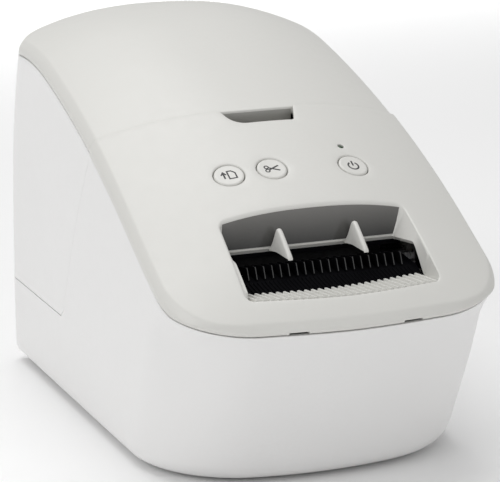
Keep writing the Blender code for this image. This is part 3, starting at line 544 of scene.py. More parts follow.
WHITE = moulded("case_white", (0.84, 0.835, 0.828), 0.36)
GREY = moulded("panel_grey", (0.70, 0.695, 0.665), 0.40)
PALE = moulded("outlet_grey", (0.69, 0.685, 0.655), 0.42)
BUTTON = moulded("button_grey", (0.715, 0.71, 0.68), 0.38)
BLACK = moulded("black_plastic", (0.004, 0.004, 0.005), 0.6, shade=0.3)
set_values(BLACK.shader, {"IOR": 1.12, "Specular IOR Level": 0.25})
DARK = moulded("dark_plastic", (0.07, 0.07, 0.075), 0.5, shade=0.15)
# Painted shade: a darker grey of the panel's plastic for the lid's wall behind the finger recess, where
# shade falls.
RECESS_PAINTED_SHADE = moulded("recess_painted_shade", (0.33, 0.325, 0.305), 0.45)
SMOKE_PAINTED_LIGHT = moulded("smoked_plastic_painted_light", (0.03, 0.03, 0.029), 0.12, depth=0.000008, shade=0.1)
# Painted light: the strip's colour turns a lighter grey towards its top, for the light and reflection that
# it catches there.
SMOKE_PAINTED_LIGHT.tint(SMOKE_PAINTED_LIGHT.height_up(), 0.0, (0.215, 0.21, 0.20), 0.082, 0.0965)
# Painted highlight: a grey lighter than the black ribs, for thin strips along their front edges where light
# catches them.
RIB_PAINTED_HIGHLIGHT = moulded("rib_painted_highlight", (0.06, 0.06, 0.06), 0.4, shade=0.1)
INK = moulded("icon_ink", (0.035, 0.035, 0.038), 0.55, shade=0.15)
CREAM = moulded("gear_plastic", (0.82, 0.80, 0.72), 0.4, shade=0.05)
RUBBER = rubbery("rubber", (0.022, 0.022, 0.023))
STEEL = metal("steel", (0.56, 0.56, 0.58), 0.32)
SHAFT = metal("turned_steel", (0.62, 0.62, 0.64), 0.24)
BLADE = metal("blade_steel", (0.6, 0.6, 0.62), 0.22, "Z")
CAN = metal("motor_can", (0.42, 0.42, 0.44), 0.36)
ALUMINIUM = metal("aluminium", (0.74, 0.75, 0.77), 0.38)
PCB = board_look("circuit_board", (0.025, 0.15, 0.07))
CERAMIC = moulded("ceramic", (0.86, 0.85, 0.80), 0.3, shade=0.04)
PAPER = paper_look("label_paper", (0.86, 0.86, 0.83), ROLL)
CARD = rubbery("card", (0.42, 0.31, 0.19))
LIGHT = glow_look("light_pipe", (0.05, 0.10, 0.05))


def finish_piece(obj, body, slot, *nodes):
    """Attaches a piece to its body and hides the CAD nodes that it stands in for; slot is not used."""
    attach(obj, body)
    if nodes:
        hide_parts(*nodes)
    return obj


# --- Case skins ---

BOW_STEPS, CORNER_STEPS, SIDE_STEPS = 22, 30, 26
BACK_CORNER_STEPS, BACK_STEPS = 14, 22
# Rows of the band from its rim down: (inset, drop below the top surface, share that it faces sideways).
# Below them: (inset, height above the band's foot).
RIM_ROWS = ((2.5, 0.0, 0.0), (2.1, 0.04, 0.15), (1.75, 0.2, 0.4), (1.4, 0.5, 0.62), (0.55, 1.5, 0.86),
            (0.2, 2.0, 0.96), (0.0, 2.6, 1.0))
FOOT_ROWS = ((0.0, 1.3), (0.0, 0.45), (0.08, 0.36), (0.28, EDGE_GAP))
ROWS = len(RIM_ROWS) + len(FOOT_ROWS)
PROUD_SIDE_SHARE = 0.6

# Rounded edges: (distance from the opening's edge, drop).
SEAM_EDGE = ((0.4, 0.0), (0.2, 0.06), (0.06, 0.2), (0.0, 0.4))
OUTLET_LIP = ((1.0, 0.0), (0.62, 0.07), (0.29, 0.29), (0.07, 0.62), (0.0, 1.0))
WELL_EDGE = ((0.7, 0.0), (0.34, 0.09), (0.1, 0.34), (0.0, 0.7))
OUTLET_STEPS, TOP_GRID = 24, 2.4


def skin_row(t, row, panel):
    """A point of the rim or the band, and the point of the inner surface behind it."""
    base = foot(t)

    def widened(z, inset):
        y = station(t, z, inset)[1]
        return station(t, z, inset - PROUD_SIDE_SHARE * proud_at(y) if panel else inset)

    inner_x, inner_y = widened(base + BAND, SKIN)
    ceiling = top_z(inner_x, inner_y, panel) - SKIN
    if row < len(RIM_ROWS):
        inset, drop, _ = RIM_ROWS[row]
        x, y = widened(base + BAND - drop, inset)
        z = top_z(x, y, panel) - drop
    else:
        inset, above = FOOT_ROWS[row - len(RIM_ROWS)]
        z = base + above
        x, y = widened(z, inset)
    if z > ceiling:
        return (x, y, z), (inner_x, inner_y, ceiling)
    return (x, y, z), (*widened(z, WALL), z)


def seam_station(row, panel, away, side):
    """The station on the side wall at which a row is a distance away from the seam."""
    low, high = 2.0, 3.0
    for _ in range(40):
        middle = (low + high) / 2
        x, y, _ = skin_row(side * middle, row, panel)[0]
        target = seam_y(x) + (-1 if panel else 1) * (GAP / 2 + away)
        low, high = (middle, high) if y < target else (low, middle)
    return low


def seam_column(shell, panel, away, lower, side):
    """The rows at a distance from the seam, sunk along their normals by lower."""
    column = []
    for row in range(ROWS):
        t = seam_station(row, panel, away, side)
        (x, y, z), behind = skin_row(side * t, row, panel)
        out = RIM_ROWS[row][2] if row < len(RIM_ROWS) else 1.0
        x -= side * out * lower
        z -= math.sqrt(1.0 - out * out) * lower
        column.append(shell.add((x, y, z), behind))
    return column


def rounded_path(corners, step):
    """A path through rounded corners (x, y, radius), with points a step apart."""
    path = [corners[0][:2]]
    for before, here, after in zip(corners, corners[1:], corners[2:]):
        a, b, c = (Vector(p[:2]) for p in (before, here, after))
        radius = here[2]
        if radius <= 0.0:
            path.append(tuple(b))
            continue
        into, out = (a - b).normalized(), (c - b).normalized()
        half = into.angle(out) / 2
        reach = radius / math.tan(half)
        centre = b + (into + out).normalized() * radius / math.sin(half)
        start = b + into * reach - centre
        sweep = (math.pi - 2 * half) * (1 if into.x * out.y - into.y * out.x < 0 else -1)
        for k in range(9):
            path.append(tuple(centre + Matrix.Rotation(sweep * k / 8, 2) @ start))
    path.append(corners[-1][:2])
    fine = [path[0]]
    for (ax, ay), (bx, by) in zip(path, path[1:]):
        length = math.hypot(bx - ax, by - ay)
        pieces = max(1, round(length / step))
        if length > 1e-6:
            shares = [k / pieces for k in range(1, pieces + 1)]
            fine += [(ax + (bx - ax) * share, ay + (by - ay) * share) for share in shares]
    return fine


def offset_path(path, distance):
    """A path from left to right without its ends, moved towards the front."""
    moved = []
    for (ax, ay), (x, y), (bx, by) in zip(path, path[1:], path[2:]):
        normal = Vector((by - ay, ax - bx)).normalized()
        moved.append((x + normal.x * distance, y + normal.y * distance))
    return moved


def seam_path(panel, half):
    """The seam from left to right, with the finger recess in the panel's edge."""
    gap = -GAP / 2 if panel else GAP / 2
    steps = [half * i / 30 for i in range(-30, 31)]
    if not panel:
        return [(x, seam_y(x) + gap) for x in steps]
    left = [(x, seam_y(x) + gap, 0.0) for x in steps if x < -GRIP_HALF_REAR - 1.5]
    right = [(-x, y, r) for x, y, r in reversed(left)]
    edge = seam_y(GRIP_HALF_REAR) + gap
    deep = SEAM_CENTRE_Y - GRIP_DEPTH_Y
    notch = [(-GRIP_HALF_REAR, edge, 0.9), (-GRIP_HALF_FRONT, deep, 7.0)]
    notch += [(GRIP_HALF_FRONT, deep, 1.6), (GRIP_HALF_REAR, edge, 0.9)]
    return rounded_path(left + notch + right, 1.3)


def outlet_path(grow):
    """The outlet's outline in plan, with its corners rounded, from the left front corner."""
    front, front_y = OUTLET_HALF_FRONT - OUTLET_FRONT_R, OUTLET_FRONT_Y + OUTLET_FRONT_R
    top, top_y = OUTLET_HALF_TOP - OUTLET_TOP_R, OUTLET_TOP_Y - OUTLET_TOP_R
    arcs = [
        arc((-front, front_y), OUTLET_FRONT_R + grow, 180.0, 270.0, 9),
        arc((front, front_y), OUTLET_FRONT_R + grow, 270.0, 360.0, 9),
        arc((top, top_y), OUTLET_TOP_R + grow, 0.0, 90.0, 9),
        arc((-top, top_y), OUTLET_TOP_R + grow, 90.0, 180.0, 9),
    ]
    path = []
    for k, bend in enumerate(arcs):
        path += bend
        (ax, ay), (bx, by) = bend[-1], arcs[(k + 1) % 4][0]
        steps = OUTLET_STEPS * 2 if k % 2 == 0 else OUTLET_STEPS
        for i in range(1, steps):
            x, y = ax + (bx - ax) * i / steps, ay + (by - ay) * i / steps
            path.append((x, y - OUTLET_BOW * (1.0 - (x / ax) ** 2) if k == 0 else y))
    return path


def outlet_ring(grow, drop):
    """Points round the outlet's lip, and the inner surface's points below them."""
    for x, y in outlet_path(grow):
        z = top_z(x, y, panel=True)
        yield (x, y, z - drop), (x, y, z - SKIN)


def well_ring(spot, radius, count, scale):
    """The function that makes the rings of one button's well."""
    at = panel_point(*spot)

    def ring(grow, drop):
        for p, q in circle(radius + grow * scale, count):
            yield on_panel(at, p, q, -drop * scale), on_panel(at, p, q, -SKIN)

    return ring


def add_hole(shell, edge, ring):
    """A hole with a rounded edge: ring(grow, drop) gives its outer and inner points."""
    rows = [[shell.add(*points) for points in ring(*step)] for step in edge]
    shell.strip(rows, closed=True)
    return rows[0]


def rim_stations(panel):
    """Stations from left to right, by the front for the panel and by the back for the lid."""
    spans = [2 + i / SIDE_STEPS for i in range(1, SIDE_STEPS)]
    if panel:
        half = [i / BOW_STEPS for i in range(1, BOW_STEPS + 1)]
        half += [1 + i / CORNER_STEPS for i in range(1, CORNER_STEPS + 1)] + spans
        return [-t for t in reversed(half)] + [0.0] + half
    half = spans + [3 + i / BACK_CORNER_STEPS for i in range(BACK_CORNER_STEPS + 1)]
    half += [4 + i / BACK_STEPS for i in range(1, BACK_STEPS)]
    return [-t for t in half] + [5.0] + half[::-1]


def make_skin(name, panel):
    """The panel or the lid's skin: the band, the seam, the holes and the top between them."""
    shell = Shell()
    left, right = ([seam_column(shell, panel, *edge, side) for edge in SEAM_EDGE] for side in (-1, 1))
    ends = [[seam_station(row, panel, SEAM_EDGE[0][0], side) for row in range(ROWS)] for side in (-1, 1)]
    grid = []
    for place in rim_stations(panel):
        column = []
        for row in range(ROWS):
            t, end = abs(place), ends[0 if place < 0 else 1][row]
            if 2 < t < 3:
                t = 2 + (end - 2) * (t - 2) if panel else end + (3 - end) * (t - 2)
            column.append(shell.add(*skin_row(math.copysign(t, place), row, panel)))
        grid.append(column)
    shell.strip(left[::-1] + grid + right)

    def surface(x, y, drop=0.0):
        z = top_z(x, y, panel)
        return (x, y, z - drop), (x, y, z - SKIN)

    start, end = shell.outer[left[0][0]], shell.outer[right[0][0]]
    seam = seam_path(panel, (end[0] - start[0]) / 2)
    strips = []
    for k, (away, low) in enumerate(SEAM_EDGE):
        line = offset_path(seam, away if panel else -away)
        strips.append([left[k][0]] + [shell.add(*surface(x, y, low)) for x, y in line] + [right[k][0]])
    shell.strip(strips)
    loops = [strips[0] + [column[0] for column in reversed(grid)]]
    if panel:
        loops.append(add_hole(shell, OUTLET_LIP, outlet_ring))
        for spot in BUTTONS.values():
            loops.append(add_hole(shell, WELL_EDGE, well_ring(spot, BUTTON_R + GAP, 48, 1.0)))
        loops.append(add_hole(shell, WELL_EDGE, well_ring(LIGHT_XY, LIGHT_R + 0.15, 20, 0.5)))
    shell.fill(loops, TOP_GRID, surface)
    return shell.build(name, GREY)


def make_skins():
    panel = make_skin("control_panel", panel=True)
    for side in (-1, 1):
        low = (side * CLIP_X - CLIP_HALF, FRONT_Y - 4.0, CLIP_TOP_Z - CLIP_HEIGHT)
        high = (side * CLIP_X + CLIP_HALF, FRONT_Y + 8.0, CLIP_TOP_Z)
        cut(panel, box_tool(f"clip_{side}", low, high))
    settle(panel)
    finish_piece(panel, "base", "panel_grey", "front_panel")
    finish_piece(make_skin("lid_top", panel=False), "lid", "panel_grey", "lid_skin")


# --- Case walls ---

# Heights of the wall's rings outside and inside, as shares of the way up to the band.
WALL_LEVELS = (0.0, 0.004, 0.012, 0.026, 0.045, 0.07, 0.12, 0.18, 0.26, 0.34, 0.42, 0.5, 0.58, 0.66, 0.74,
               0.81, 0.86, 0.9, 0.93, 0.96, 0.985)
INNER_LEVELS = (0.94, 0.8, 0.6, 0.4, 0.2, 0.08, 0.03, 0.0)
WALL_STEPS = (16, 22, 26, 9, 10)
HINGE_HALF, BOSS_END_X, BOSS_R = 48.2, 53.0, 4.6
INLET_HOLE = ((-45.0, 98.0, 11.0), (-21.0, 112.0, 27.0))
USB_HOLE = ((23.0, 98.0, 12.0), (37.0, 112.0, 25.0))
BORE_HALF, FAR_X, FAR_Y, FAR_Z = 60.0, 90.0, 130.0, 170.0


def wall_tube(name):
    """The case's wall all round, from its open bottom to a rounded edge under the band."""
    plan = [k + i / steps for k, steps in enumerate(WALL_STEPS) for i in range(steps)] + [5.0]
    plan += [-t for t in reversed(plan[1:-1])]
    feet = [foot(t) - EDGE_GAP for t in plan]

    def at(share, inset, lower=0.0):
        ring = []
        for t, top in zip(plan, feet):
            z = CASE_BOTTOM + share * (top - CASE_BOTTOM) - lower
            ring.append((*station(t, z, inset), z))
        return ring

    rings = [at(share, 0.0) for share in WALL_LEVELS]
    rings += [at(1.0, 0.0, 0.35), at(1.0, 0.1, 0.1), at(1.0, 0.35)]
    rings += [at(1.0, WALL)] + [at(share, WALL) for share in INNER_LEVELS]
    return tube_of(name, rings, WHITE, closed=True)


def lid_region(name, grow):
    """A block of all that lies inside the lid's side edge, and its heel round the hinge."""
    aside = 0.3 * grow
    low_y, low_z = LID_EDGE_LOW
    corner_y, corner_z = LID_EDGE_CORNER
    outline = [(LID_EDGE_TOP[0] - aside, FAR_Z), (LID_EDGE_TOP[0] - aside, LID_EDGE_TOP[1])]
    outline += [(low_y - aside, low_z), (low_y + 1.6 - aside, low_z - 4.4), (corner_y, corner_z - grow)]
    outline += arc(HINGE, LID_HEEL_R + grow, -90.0, -38.0, 14)
    outline += [(FAR_Y, outline[-1][1]), (FAR_Y, FAR_Z)]
    return prism(name, outline, -FAR_X, FAR_X)


def rod(name, radius, low, high):
    """A rod on the hinge's axis."""
    return turned(name, HINGE, [(0.0, low), (radius, low), (radius, high), (0.0, high)])


def make_housing():
    housing = wall_tube("lower_case")
    cut(housing, lid_region("lid_opening", 0.2))
    roll = [(103.7, 24.0), (106.2, 24.0), (106.2, HINGE[1])]
    roll += arc(HINGE, 5.2, 20.0, 270.0, 24) + [(103.7, HINGE[1] - BOSS_R)]
    cut(housing, prism("hinge_roll", roll, 0.5 - HINGE_HALF, HINGE_HALF - 0.5), "UNION")
    cut(housing, rod("hinge_bore", HINGE_BORE_R, -BORE_HALF, BORE_HALF))
    cut(housing, box_tool("inlet_hole", *INLET_HOLE))
    cut(housing, box_tool("usb_hole", *USB_HOLE))
    finish_piece(settle(housing), "base", "case_white", "lower_housing")


def make_lid_case():
    shell = wall_tube("lid_case")
    cut(shell, lid_region("lid_keep", -0.2), "INTERSECT")
    cut(shell, box_tool("hinge_notch", (-HINGE_HALF, 95.0, 20.0), (HINGE_HALF, 115.0, 45.7)))
    for side in (-1, 1):
        low, high = sorted((side * HINGE_HALF, side * BOSS_END_X))
        cut(shell, rod(f"boss_{side}", BOSS_R, low, high), "UNION")
    cut(shell, rod("boss_bore", HINGE_BORE_R, -BORE_HALF, BORE_HALF))
    finish_piece(settle(shell), "lid", "case_white", "lid_shell")


# --- Label outlet ---

REAR_FOOT_Z, REAR_WALL_Y = 77.9, -64.4
TRAY_THICK, TRAY_SUNK = 1.1, 1.3
LEDGE_DROP, LEDGE_HALF, LEDGE_CURVE = 0.95, 33.0, 3.4
LEDGE_OUTER_X, LEDGE_INNER_X, LEDGE_INNER_Y = (-34.9, 35.4), (-34.2, 35.0), -86.4
REAR_WALL_X, LEFT_WALL_X, RIGHT_WALL_X = (-34.4, 30.3), -34.6, 30.7
LEFT_WALL_Y, RIGHT_WALL_Y = (-90.0, -64.8), (-82.0, -65.2)
LEDGE_RIBS, LEDGE_RIB_FIRST_X, LEDGE_RIB_SPAN = 27, -33.0, 67.0
LEDGE_RIB = ((-1.15, -0.2), (-0.95, 0.85), (-0.3, 0.9), (1.0, 0.0), (1.0, -0.2))
STRIP_HALF = 34.5

# A guide fin from rear to front: (y, ridge height, half width of its foot).
FIN_SECTIONS = ((-64.3, 78.9, 2.5), (-65.2, 81.0, 2.2), (-66.4, 83.6, 1.7), (-67.3, 85.1, 1.2),
                (-68.1, 85.7, 1.0), (-69.0, 85.6, 0.95), (-70.0, 85.0, 0.95), (-72.5, 83.1, 1.0),
                (-75.0, 81.1, 1.05), (-77.2, 79.3, 1.05), (-78.5, 78.2, 1.0), (-78.9, 77.6, 0.8))
FIN_FOOT_Z, FIN_RIDGE_HALF = 77.2, 0.95

# The guide's outlines, as (y, z).
GUIDE_LEFT, GUIDE_RIGHT = -33.4, 34.4
GUIDE_FLOOR = ((-84.6, 58.0), (-84.6, 66.2), (-77.6, 69.6), (-75.0, 70.2), (-63.2, 71.2), (-63.2, 64.0),
               (-74.0, 58.0))
GUIDE_RIB = ((-76.8, 69.0), (-76.6, 71.0), (-75.0, 74.2), (-74.2, 74.6), (-66.0, 73.0), (-63.4, 70.4))
# The tip outline is a thin strip along a rib's front edge, and it carries a painted highlight.
GUIDE_TIP_HIGHLIGHT = ((-76.9, 70.6), (-75.3, 74.1), (-74.9, 74.6), (-74.5, 74.4), (-75.0, 73.8), (-76.3, 70.6))
GUIDE_FLAP = ((-63.5, 74.8), (-63.5, 77.2), (-62.7, 77.2), (-62.9, 74.6))
GUIDE_RIBS, GUIDE_RIB_FIRST_X, GUIDE_RIB_STEP = 20, -29.0, 3.05
COMB_TEETH, COMB_FIRST_X, COMB_STEP, COMB_SLANT = 43, -31.5, 1.5, 0.9
COMB_TOOTH = ((-0.35, -0.4), (0.0, 0.45), (0.35, -0.4))


def ledge_z(x):
    """The ledge lies just under the panel's surface at the outlet's front edge."""
    front = OUTLET_FRONT_Y - OUTLET_BOW * (1.0 - (shared(x, -LEDGE_HALF, LEDGE_HALF) / LEDGE_HALF) ** 2)
    return top_z(x, front, panel=True) - LEDGE_DROP


def ledge_inner_y(x):
    """The ledge's inner edge: a shallow curve that turns away at its right end."""
    rounding = 0.8 * (max(0.0, x - 32.0) / 3.0) ** 2
    return LEDGE_INNER_Y + LEDGE_CURVE * ((x + 10.0) / 40.0) ** 2 + rounding


def tray_section(x, y, surface):
    """From a point of the outlet's edge, the foot of the tray's wall and the free edge beyond it.

    The front wall runs into the ledge, the rear wall ends above the guide, and the left wall is steep.
    The right wall slants inwards, less and less towards the front.
    """
    if y < OUTLET_FRONT_Y + 2.2:
        inner_x = shared(x, *LEDGE_INNER_X)
        z = min(ledge_z(x), surface - 0.4)
        return (shared(x, *LEDGE_OUTER_X), y + 0.3, z), (inner_x, ledge_inner_y(inner_x), z)
    if y > OUTLET_TOP_Y - 2.4 and abs(x) < -REAR_WALL_X[0]:
        inner_x = shared(x, *REAR_WALL_X)
        return (inner_x, REAR_WALL_Y, REAR_FOOT_Z), (inner_x, REAR_WALL_Y - 0.5, REAR_FOOT_Z)
    down = min(REAR_FOOT_Z, surface - 1.0)
    if x < 0:
        inner = (LEFT_WALL_X, shared(y, *LEFT_WALL_Y), down)
        return inner, inner
    turn = shared((-75.0 - y) / 7.0)
    inner_x = RIGHT_WALL_X + 3.5 * shared((-66.0 - y) / 10.0) + 1.2 * shared((-76.0 - y) / 8.0)
    inner = (inner_x, shared(y, *RIGHT_WALL_Y), down + (min(ledge_z(x), down) - down) * turn)
    return inner, inner


def make_tray():
    """The tray's lip and walls, and the ribbed ledge at its front."""
    shell = Shell()
    rows = [[], [], [], []]
    for x, y in outlet_path(-0.03):
        surface = top_z(x, y, panel=True)
        wall_foot, edge = (Vector(p) for p in tray_section(x, y, surface))
        lip = Vector((x, y, surface - 0.95))
        wall_foot.z = min(wall_foot.z, lip.z + 0.6)
        out = Vector((x - wall_foot.x, y - wall_foot.y, 0.0))
        if out.length < 0.05:
            out = Vector((x, 0.0, 0.0))
        out = out.normalized() * TRAY_THICK
        sunk = Vector((out.x, out.y, -TRAY_SUNK))
        points = (lip, (lip + wall_foot) / 2, wall_foot, edge)
        for row, point, behind in zip(rows, points, (out, out, sunk, sunk)):
            row.append(shell.add(point, point + behind))
    shell.strip(rows, closed=True)
    tray = shell.build("outlet_tray", PALE)
    finish_piece(tray, "base", "outlet_grey", "label_outlet")
    for k in range(LEDGE_RIBS):
        x = LEDGE_RIB_FIRST_X + LEDGE_RIB_SPAN * k / (LEDGE_RIBS - 1)
        front = OUTLET_FRONT_Y + 0.4 - OUTLET_BOW * (1.0 - (x / OUTLET_HALF_TOP) ** 2)
        ends = ((ledge_inner_y(x) + 0.25, -1.6), (front, 0.9))
        rings = [[(x + shift + p, y, ledge_z(x) + q) for p, q in LEDGE_RIB] for y, shift in ends]
        tube_of(f"ledge_rib_{k:02d}", rings, PALE, sharp=20.0).parent = tray


def make_fin(name, x):
    """A triangular guide fin with a rounded ridge, lofted along its sections."""
    rings = []
    for y, ridge, base_half in FIN_SECTIONS:
        base = min(FIN_FOOT_Z, ridge - 0.9)
        half = min(FIN_RIDGE_HALF, base_half)
        outline = [(-base_half, base), (-half, ridge - 0.8), (-half * 0.72, ridge - 0.22), (0.0, ridge)]
        outline += [(-p, q) for p, q in reversed(outline[:3])]
        rings.append([(x + p, y, q) for p, q in outline])
    finish_piece(tube_of(name, rings, PALE, sharp=50.0), "base", "outlet_grey")


def make_back_strip():
    """The dark, glossy strip along the outlet's back wall, with painted light: its colour turns lighter
    towards its top.
    """
    shell = Shell()
    rows = [[], [], [], []]
    for i in range(49):
        x = STRIP_HALF * (i / 24 - 1.0)
        top = top_z(x, OUTLET_TOP_Y, panel=True) - 1.05
        for row, share in zip(rows, (0.0, 0.35, 0.7, 1.0)):
            y = OUTLET_TOP_Y - 0.35 - 1.15 * share
            z = top + (REAR_FOOT_Z + 0.75 - top) * share
            narrow = x * (1.0 - 0.1 * share) if x > 0 else x
            row.append(shell.add((narrow, y, z), (narrow, y + 0.3, z)))
    shell.strip(rows)
    finish_piece(shell.build("outlet_back", SMOKE_PAINTED_LIGHT), "base", "dark_plastic")


def make_guide():
    """The outlet's black floor, with upright ribs that carry the label and a comb before them."""
    guide = prism("guide_floor", GUIDE_FLOOR, GUIDE_LEFT, GUIDE_RIGHT, BLACK)
    finish_piece(guide, "base", "black_plastic", "label_guide")
    for k in range(GUIDE_RIBS):
        x = GUIDE_RIB_FIRST_X + GUIDE_RIB_STEP * k
        prism(f"guide_rib_{k:02d}", GUIDE_RIB, x - 0.3, x + 0.3, BLACK).parent = guide
        # Each rib gets a thin strip of lighter grey along its front edge: a painted highlight.
        prism(f"guide_tip_highlight_{k:02d}", GUIDE_TIP_HIGHLIGHT, x - 0.14, x + 0.14, RIB_PAINTED_HIGHLIGHT).parent = guide
    finish_piece(prism("guide_flap", GUIDE_FLAP, -34.0, 34.0, BLACK), "base", "black_plastic")
    for k in range(COMB_TEETH):
        x = COMB_FIRST_X + COMB_STEP * k
        ends = ((x + COMB_SLANT, -84.4, 66.3), (x - COMB_SLANT, -77.8, 69.5))
        rings = [[(at + p, y, z + q) for p, q in COMB_TOOTH] for at, y, z in ends]
        tube_of(f"guide_comb_{k + 1:02d}", rings, BLACK).parent = guide


# --- Finger recess ---

GRIP_REAR_Y, GRIP_FRONT_Y = SEAM_CENTRE_Y - 0.6, -20.6
GRIP_CUP_REAR, GRIP_CUP_FRONT = 15.4, 12.4
GRIP_CUP_ROWS = ((-0.5, 106.0), (-0.9, 101.6), (-1.8, 100.4), (-3.0, 100.2))
PULL_HALF = 13.9
PULL_ROWS = ((0.0, 0.1), (0.3, 0.0), (2.0, 0.0), (4.5, 0.4), (8.0, 1.5), (11.0, 3.4))


def make_grip_cup():
    """The cup under the finger recess: three walls and a floor, open towards the lid."""
    shell = Shell()
    rows = []
    for grow, level in ((0.0, None), *GRIP_CUP_ROWS):
        rear, front = GRIP_CUP_REAR + grow, GRIP_CUP_FRONT + grow
        front_y = GRIP_FRONT_Y - grow
        row = []
        for x, y in ((-rear, GRIP_REAR_Y), (-front, front_y), (front, front_y), (rear, GRIP_REAR_Y)):
            z = level or top_z(x, y) - SKIN - 0.15
            behind_y = y - 1.2 if y < GRIP_REAR_Y - 1 else y
            row.append(shell.add((x, y, z), (x * 1.09, behind_y, z - 1.3 if z < 101 else z)))
        rows.append(row)
    shell.strip(rows)
    shell.faces.append(tuple(rows[-1]))
    finish_piece(shell.build("grip_cup", PALE), "base", "outlet_grey", "grip_pocket")


def make_pull():
    """The lid's front wall behind the finger recess: a sheet coloured a darker grey as painted shade."""
    shell = Shell()
    columns = []
    for i in range(25):
        x = PULL_HALF * (i / 12 - 1.0)
        front = seam_y(x) + GAP / 2 - 0.2
        top = top_z(x, front) - 0.7
        column = []
        for down, back in PULL_ROWS:
            y, z = front + back, top - down
            column.append(shell.add((x, y, z), (x, y + 0.16 + 0.1 * down, z)))
        columns.append(column)
    shell.strip(columns)
    finish_piece(shell.build("lid_pull_painted_shade", RECESS_PAINTED_SHADE), "lid", "panel_grey")


# --- Buttons ---

# Turned profiles: (radius, lift off the panel's surface).
CAP_PROFILE = ((0.0, -0.1), (1.5, -0.1), (3.0, -0.07), (4.0, -0.02), (4.5, 0.03), (4.8, 0.03), (5.1, -0.06),
               (5.32, -0.26), (5.42, -0.5), (BUTTON_R, -0.9), (BUTTON_R, -2.4), (3.0, -2.4), (0.0, -2.4))
LENS_PROFILE = ((0.0, -0.25), (0.4, -0.28), (0.8, -0.42), (LIGHT_R, -0.62), (LIGHT_R, -4.0), (0.8, -9.0),
                (0.0, -9.0))
STEM_TOP = 2.2
INK_DEPTH, INK_PROUD = 0.12, 0.035


def cap_lift(radius):
    """The lift of a cap's face at a radius."""
    for (r0, h0), (r1, h1) in zip(CAP_PROFILE, CAP_PROFILE[1:]):
        if r0 <= radius <= r1:
            return h0 + (h1 - h0) * (radius - r0) / (r1 - r0)
    return 0.0


def stroke(name, points, width, at, closed):
    """A flat line of ink of even width on a button's face, through points (p, q)."""
    line = [Vector(p) for p in points]
    runs = [(b - a).normalized() for a, b in zip(line, line[1:] + line[:1])]
    if not closed:
        runs[-1] = runs[-2]
    rings = []
    for k, (p, q) in enumerate(points):
        out = runs[k]
        into = runs[k - 1] if closed or k else out
        along = (into + out).normalized()
        normal = Vector((-along.y, along.x)) * (width / 2 / max(0.5, along.dot(into)))
        ring = []
        for side, lift in ((1, -INK_DEPTH), (1, INK_PROUD), (-1, INK_PROUD), (-1, -INK_DEPTH)):
            a, b = p + side * normal.x, q + side * normal.y
            ring.append(on_panel(at, a, b, cap_lift(math.hypot(a, b)) + lift))
        rings.append(ring)
    return tube_of(name, rings, INK, closed=closed)


SCISSOR_RING = (0.75, 0.0, 337.5, 16)
# Each symbol's lines: (points, width, closed).
ICONS = {
    "feed": [
        ([(-1.9, -1.6), (-1.9, 1.3)], 0.6, False),
        ([(-2.8, 0.4), (-1.9, 1.75), (-1.0, 0.4)], 0.6, False),
        ([(-0.3, -2.0), (2.4, -2.0), (2.4, 0.8), (1.2, 2.1), (-0.3, 2.1)], 0.52, True),
    ],
    "cut": [
        (arc((-1.9, 0.95), *SCISSOR_RING), 0.46, True),
        (arc((-1.9, -0.95), *SCISSOR_RING), 0.46, True),
        ([(-1.25, 0.6), (2.7, -1.35)], 0.6, False),
        ([(-1.25, -0.6), (2.7, 1.35)], 0.6, False),
    ],
    "power": [
        (arc((0.0, -0.2), 1.95, 122.0, 418.0, 24), 0.6, False),
        ([(0.0, -0.1), (0.0, 2.5)], 0.6, False),
    ],
}


def round_on_panel(name, at, profile, look, count):
    """A profile of (radius, lift) turned about a point of the panel."""
    rings = [[on_panel(at, p, q, lift) for p, q in circle(radius, count)] for radius, lift in profile]
    return tube_of(name, rings, look)


def make_stem(name, at):
    """The button's stem, down to the height of the CAD button's end."""
    stem_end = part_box(f"{name}_button")[0].z / MM - DATUM_Z
    length = (at.z - STEM_TOP - stem_end) / -PRESS.z
    profile = ((0.0, STEM_TOP), (2.4, STEM_TOP), (1.8, 3.4), (1.8, length - 0.6), (1.3, length - 0.4),
               (0.0, length - 0.4))
    rings = []
    for radius, depth in profile:
        centre = at + PRESS * depth
        rings.append([centre + PANEL_ACROSS * p + PANEL_UP * q for p, q in circle(radius, 24)])
    return tube_of(f"{name}_stem", rings, BUTTON)


def make_buttons():
    for name, spot in BUTTONS.items():
        at = panel_point(*spot)
        cap = round_on_panel(f"{name}_cap", at, CAP_PROFILE, BUTTON, 56)
        finish_piece(cap, f"{name}_key", "panel_grey", f"{name}_button")
        make_stem(name, at).parent = cap
        for k, (points, width, closed) in enumerate(ICONS[name]):
            stroke(f"{name}_icon_{k}", points, width, at, closed).parent = cap
    lens = round_on_panel("indicator_lens", panel_point(*LIGHT_XY), LENS_PROFILE, LIGHT, 20)
    finish_piece(lens, "base", "light_pipe", "status_light")


# --- Label roll ---

WEB_HALF, WEB_R, WEB_INNER_R = 31.0, 40.0, 12.6
CORE_HALF, CORE_R, CORE_BORE_R = 31.6, 12.2, 9.7


def make_roll():
    """The wound labels, and the card core inside them."""
    web = [(WEB_INNER_R, WEB_HALF), (20.0, WEB_HALF - 0.05), (30.0, WEB_HALF - 0.02)]
    web += [(WEB_R - 0.6, WEB_HALF), (WEB_R - 0.15, WEB_HALF - 0.15), (WEB_R, WEB_HALF - 0.5), (WEB_R, 0.0)]
    core = [(CORE_BORE_R, CORE_HALF), (CORE_R - 0.2, CORE_HALF), (CORE_R, CORE_HALF - 0.2)]
    web = [(r, -x) for r, x in web] + web[-2::-1]
    core = [(r, -x) for r, x in core] + core[::-1]
    finish_piece(turned("label_web", ROLL, web, PAPER, 96), "label_roll", "label_paper", "label_paper")
    finish_piece(turned("card_core", ROLL, core, CARD, 64), "label_roll", "card", "label_core")


# --- CAD finishes ---


def pair(name):
    return [f"{name}_{side}" for side in ("left", "right")]


def four(name):
    return pair(f"{name}_front") + pair(f"{name}_rear")


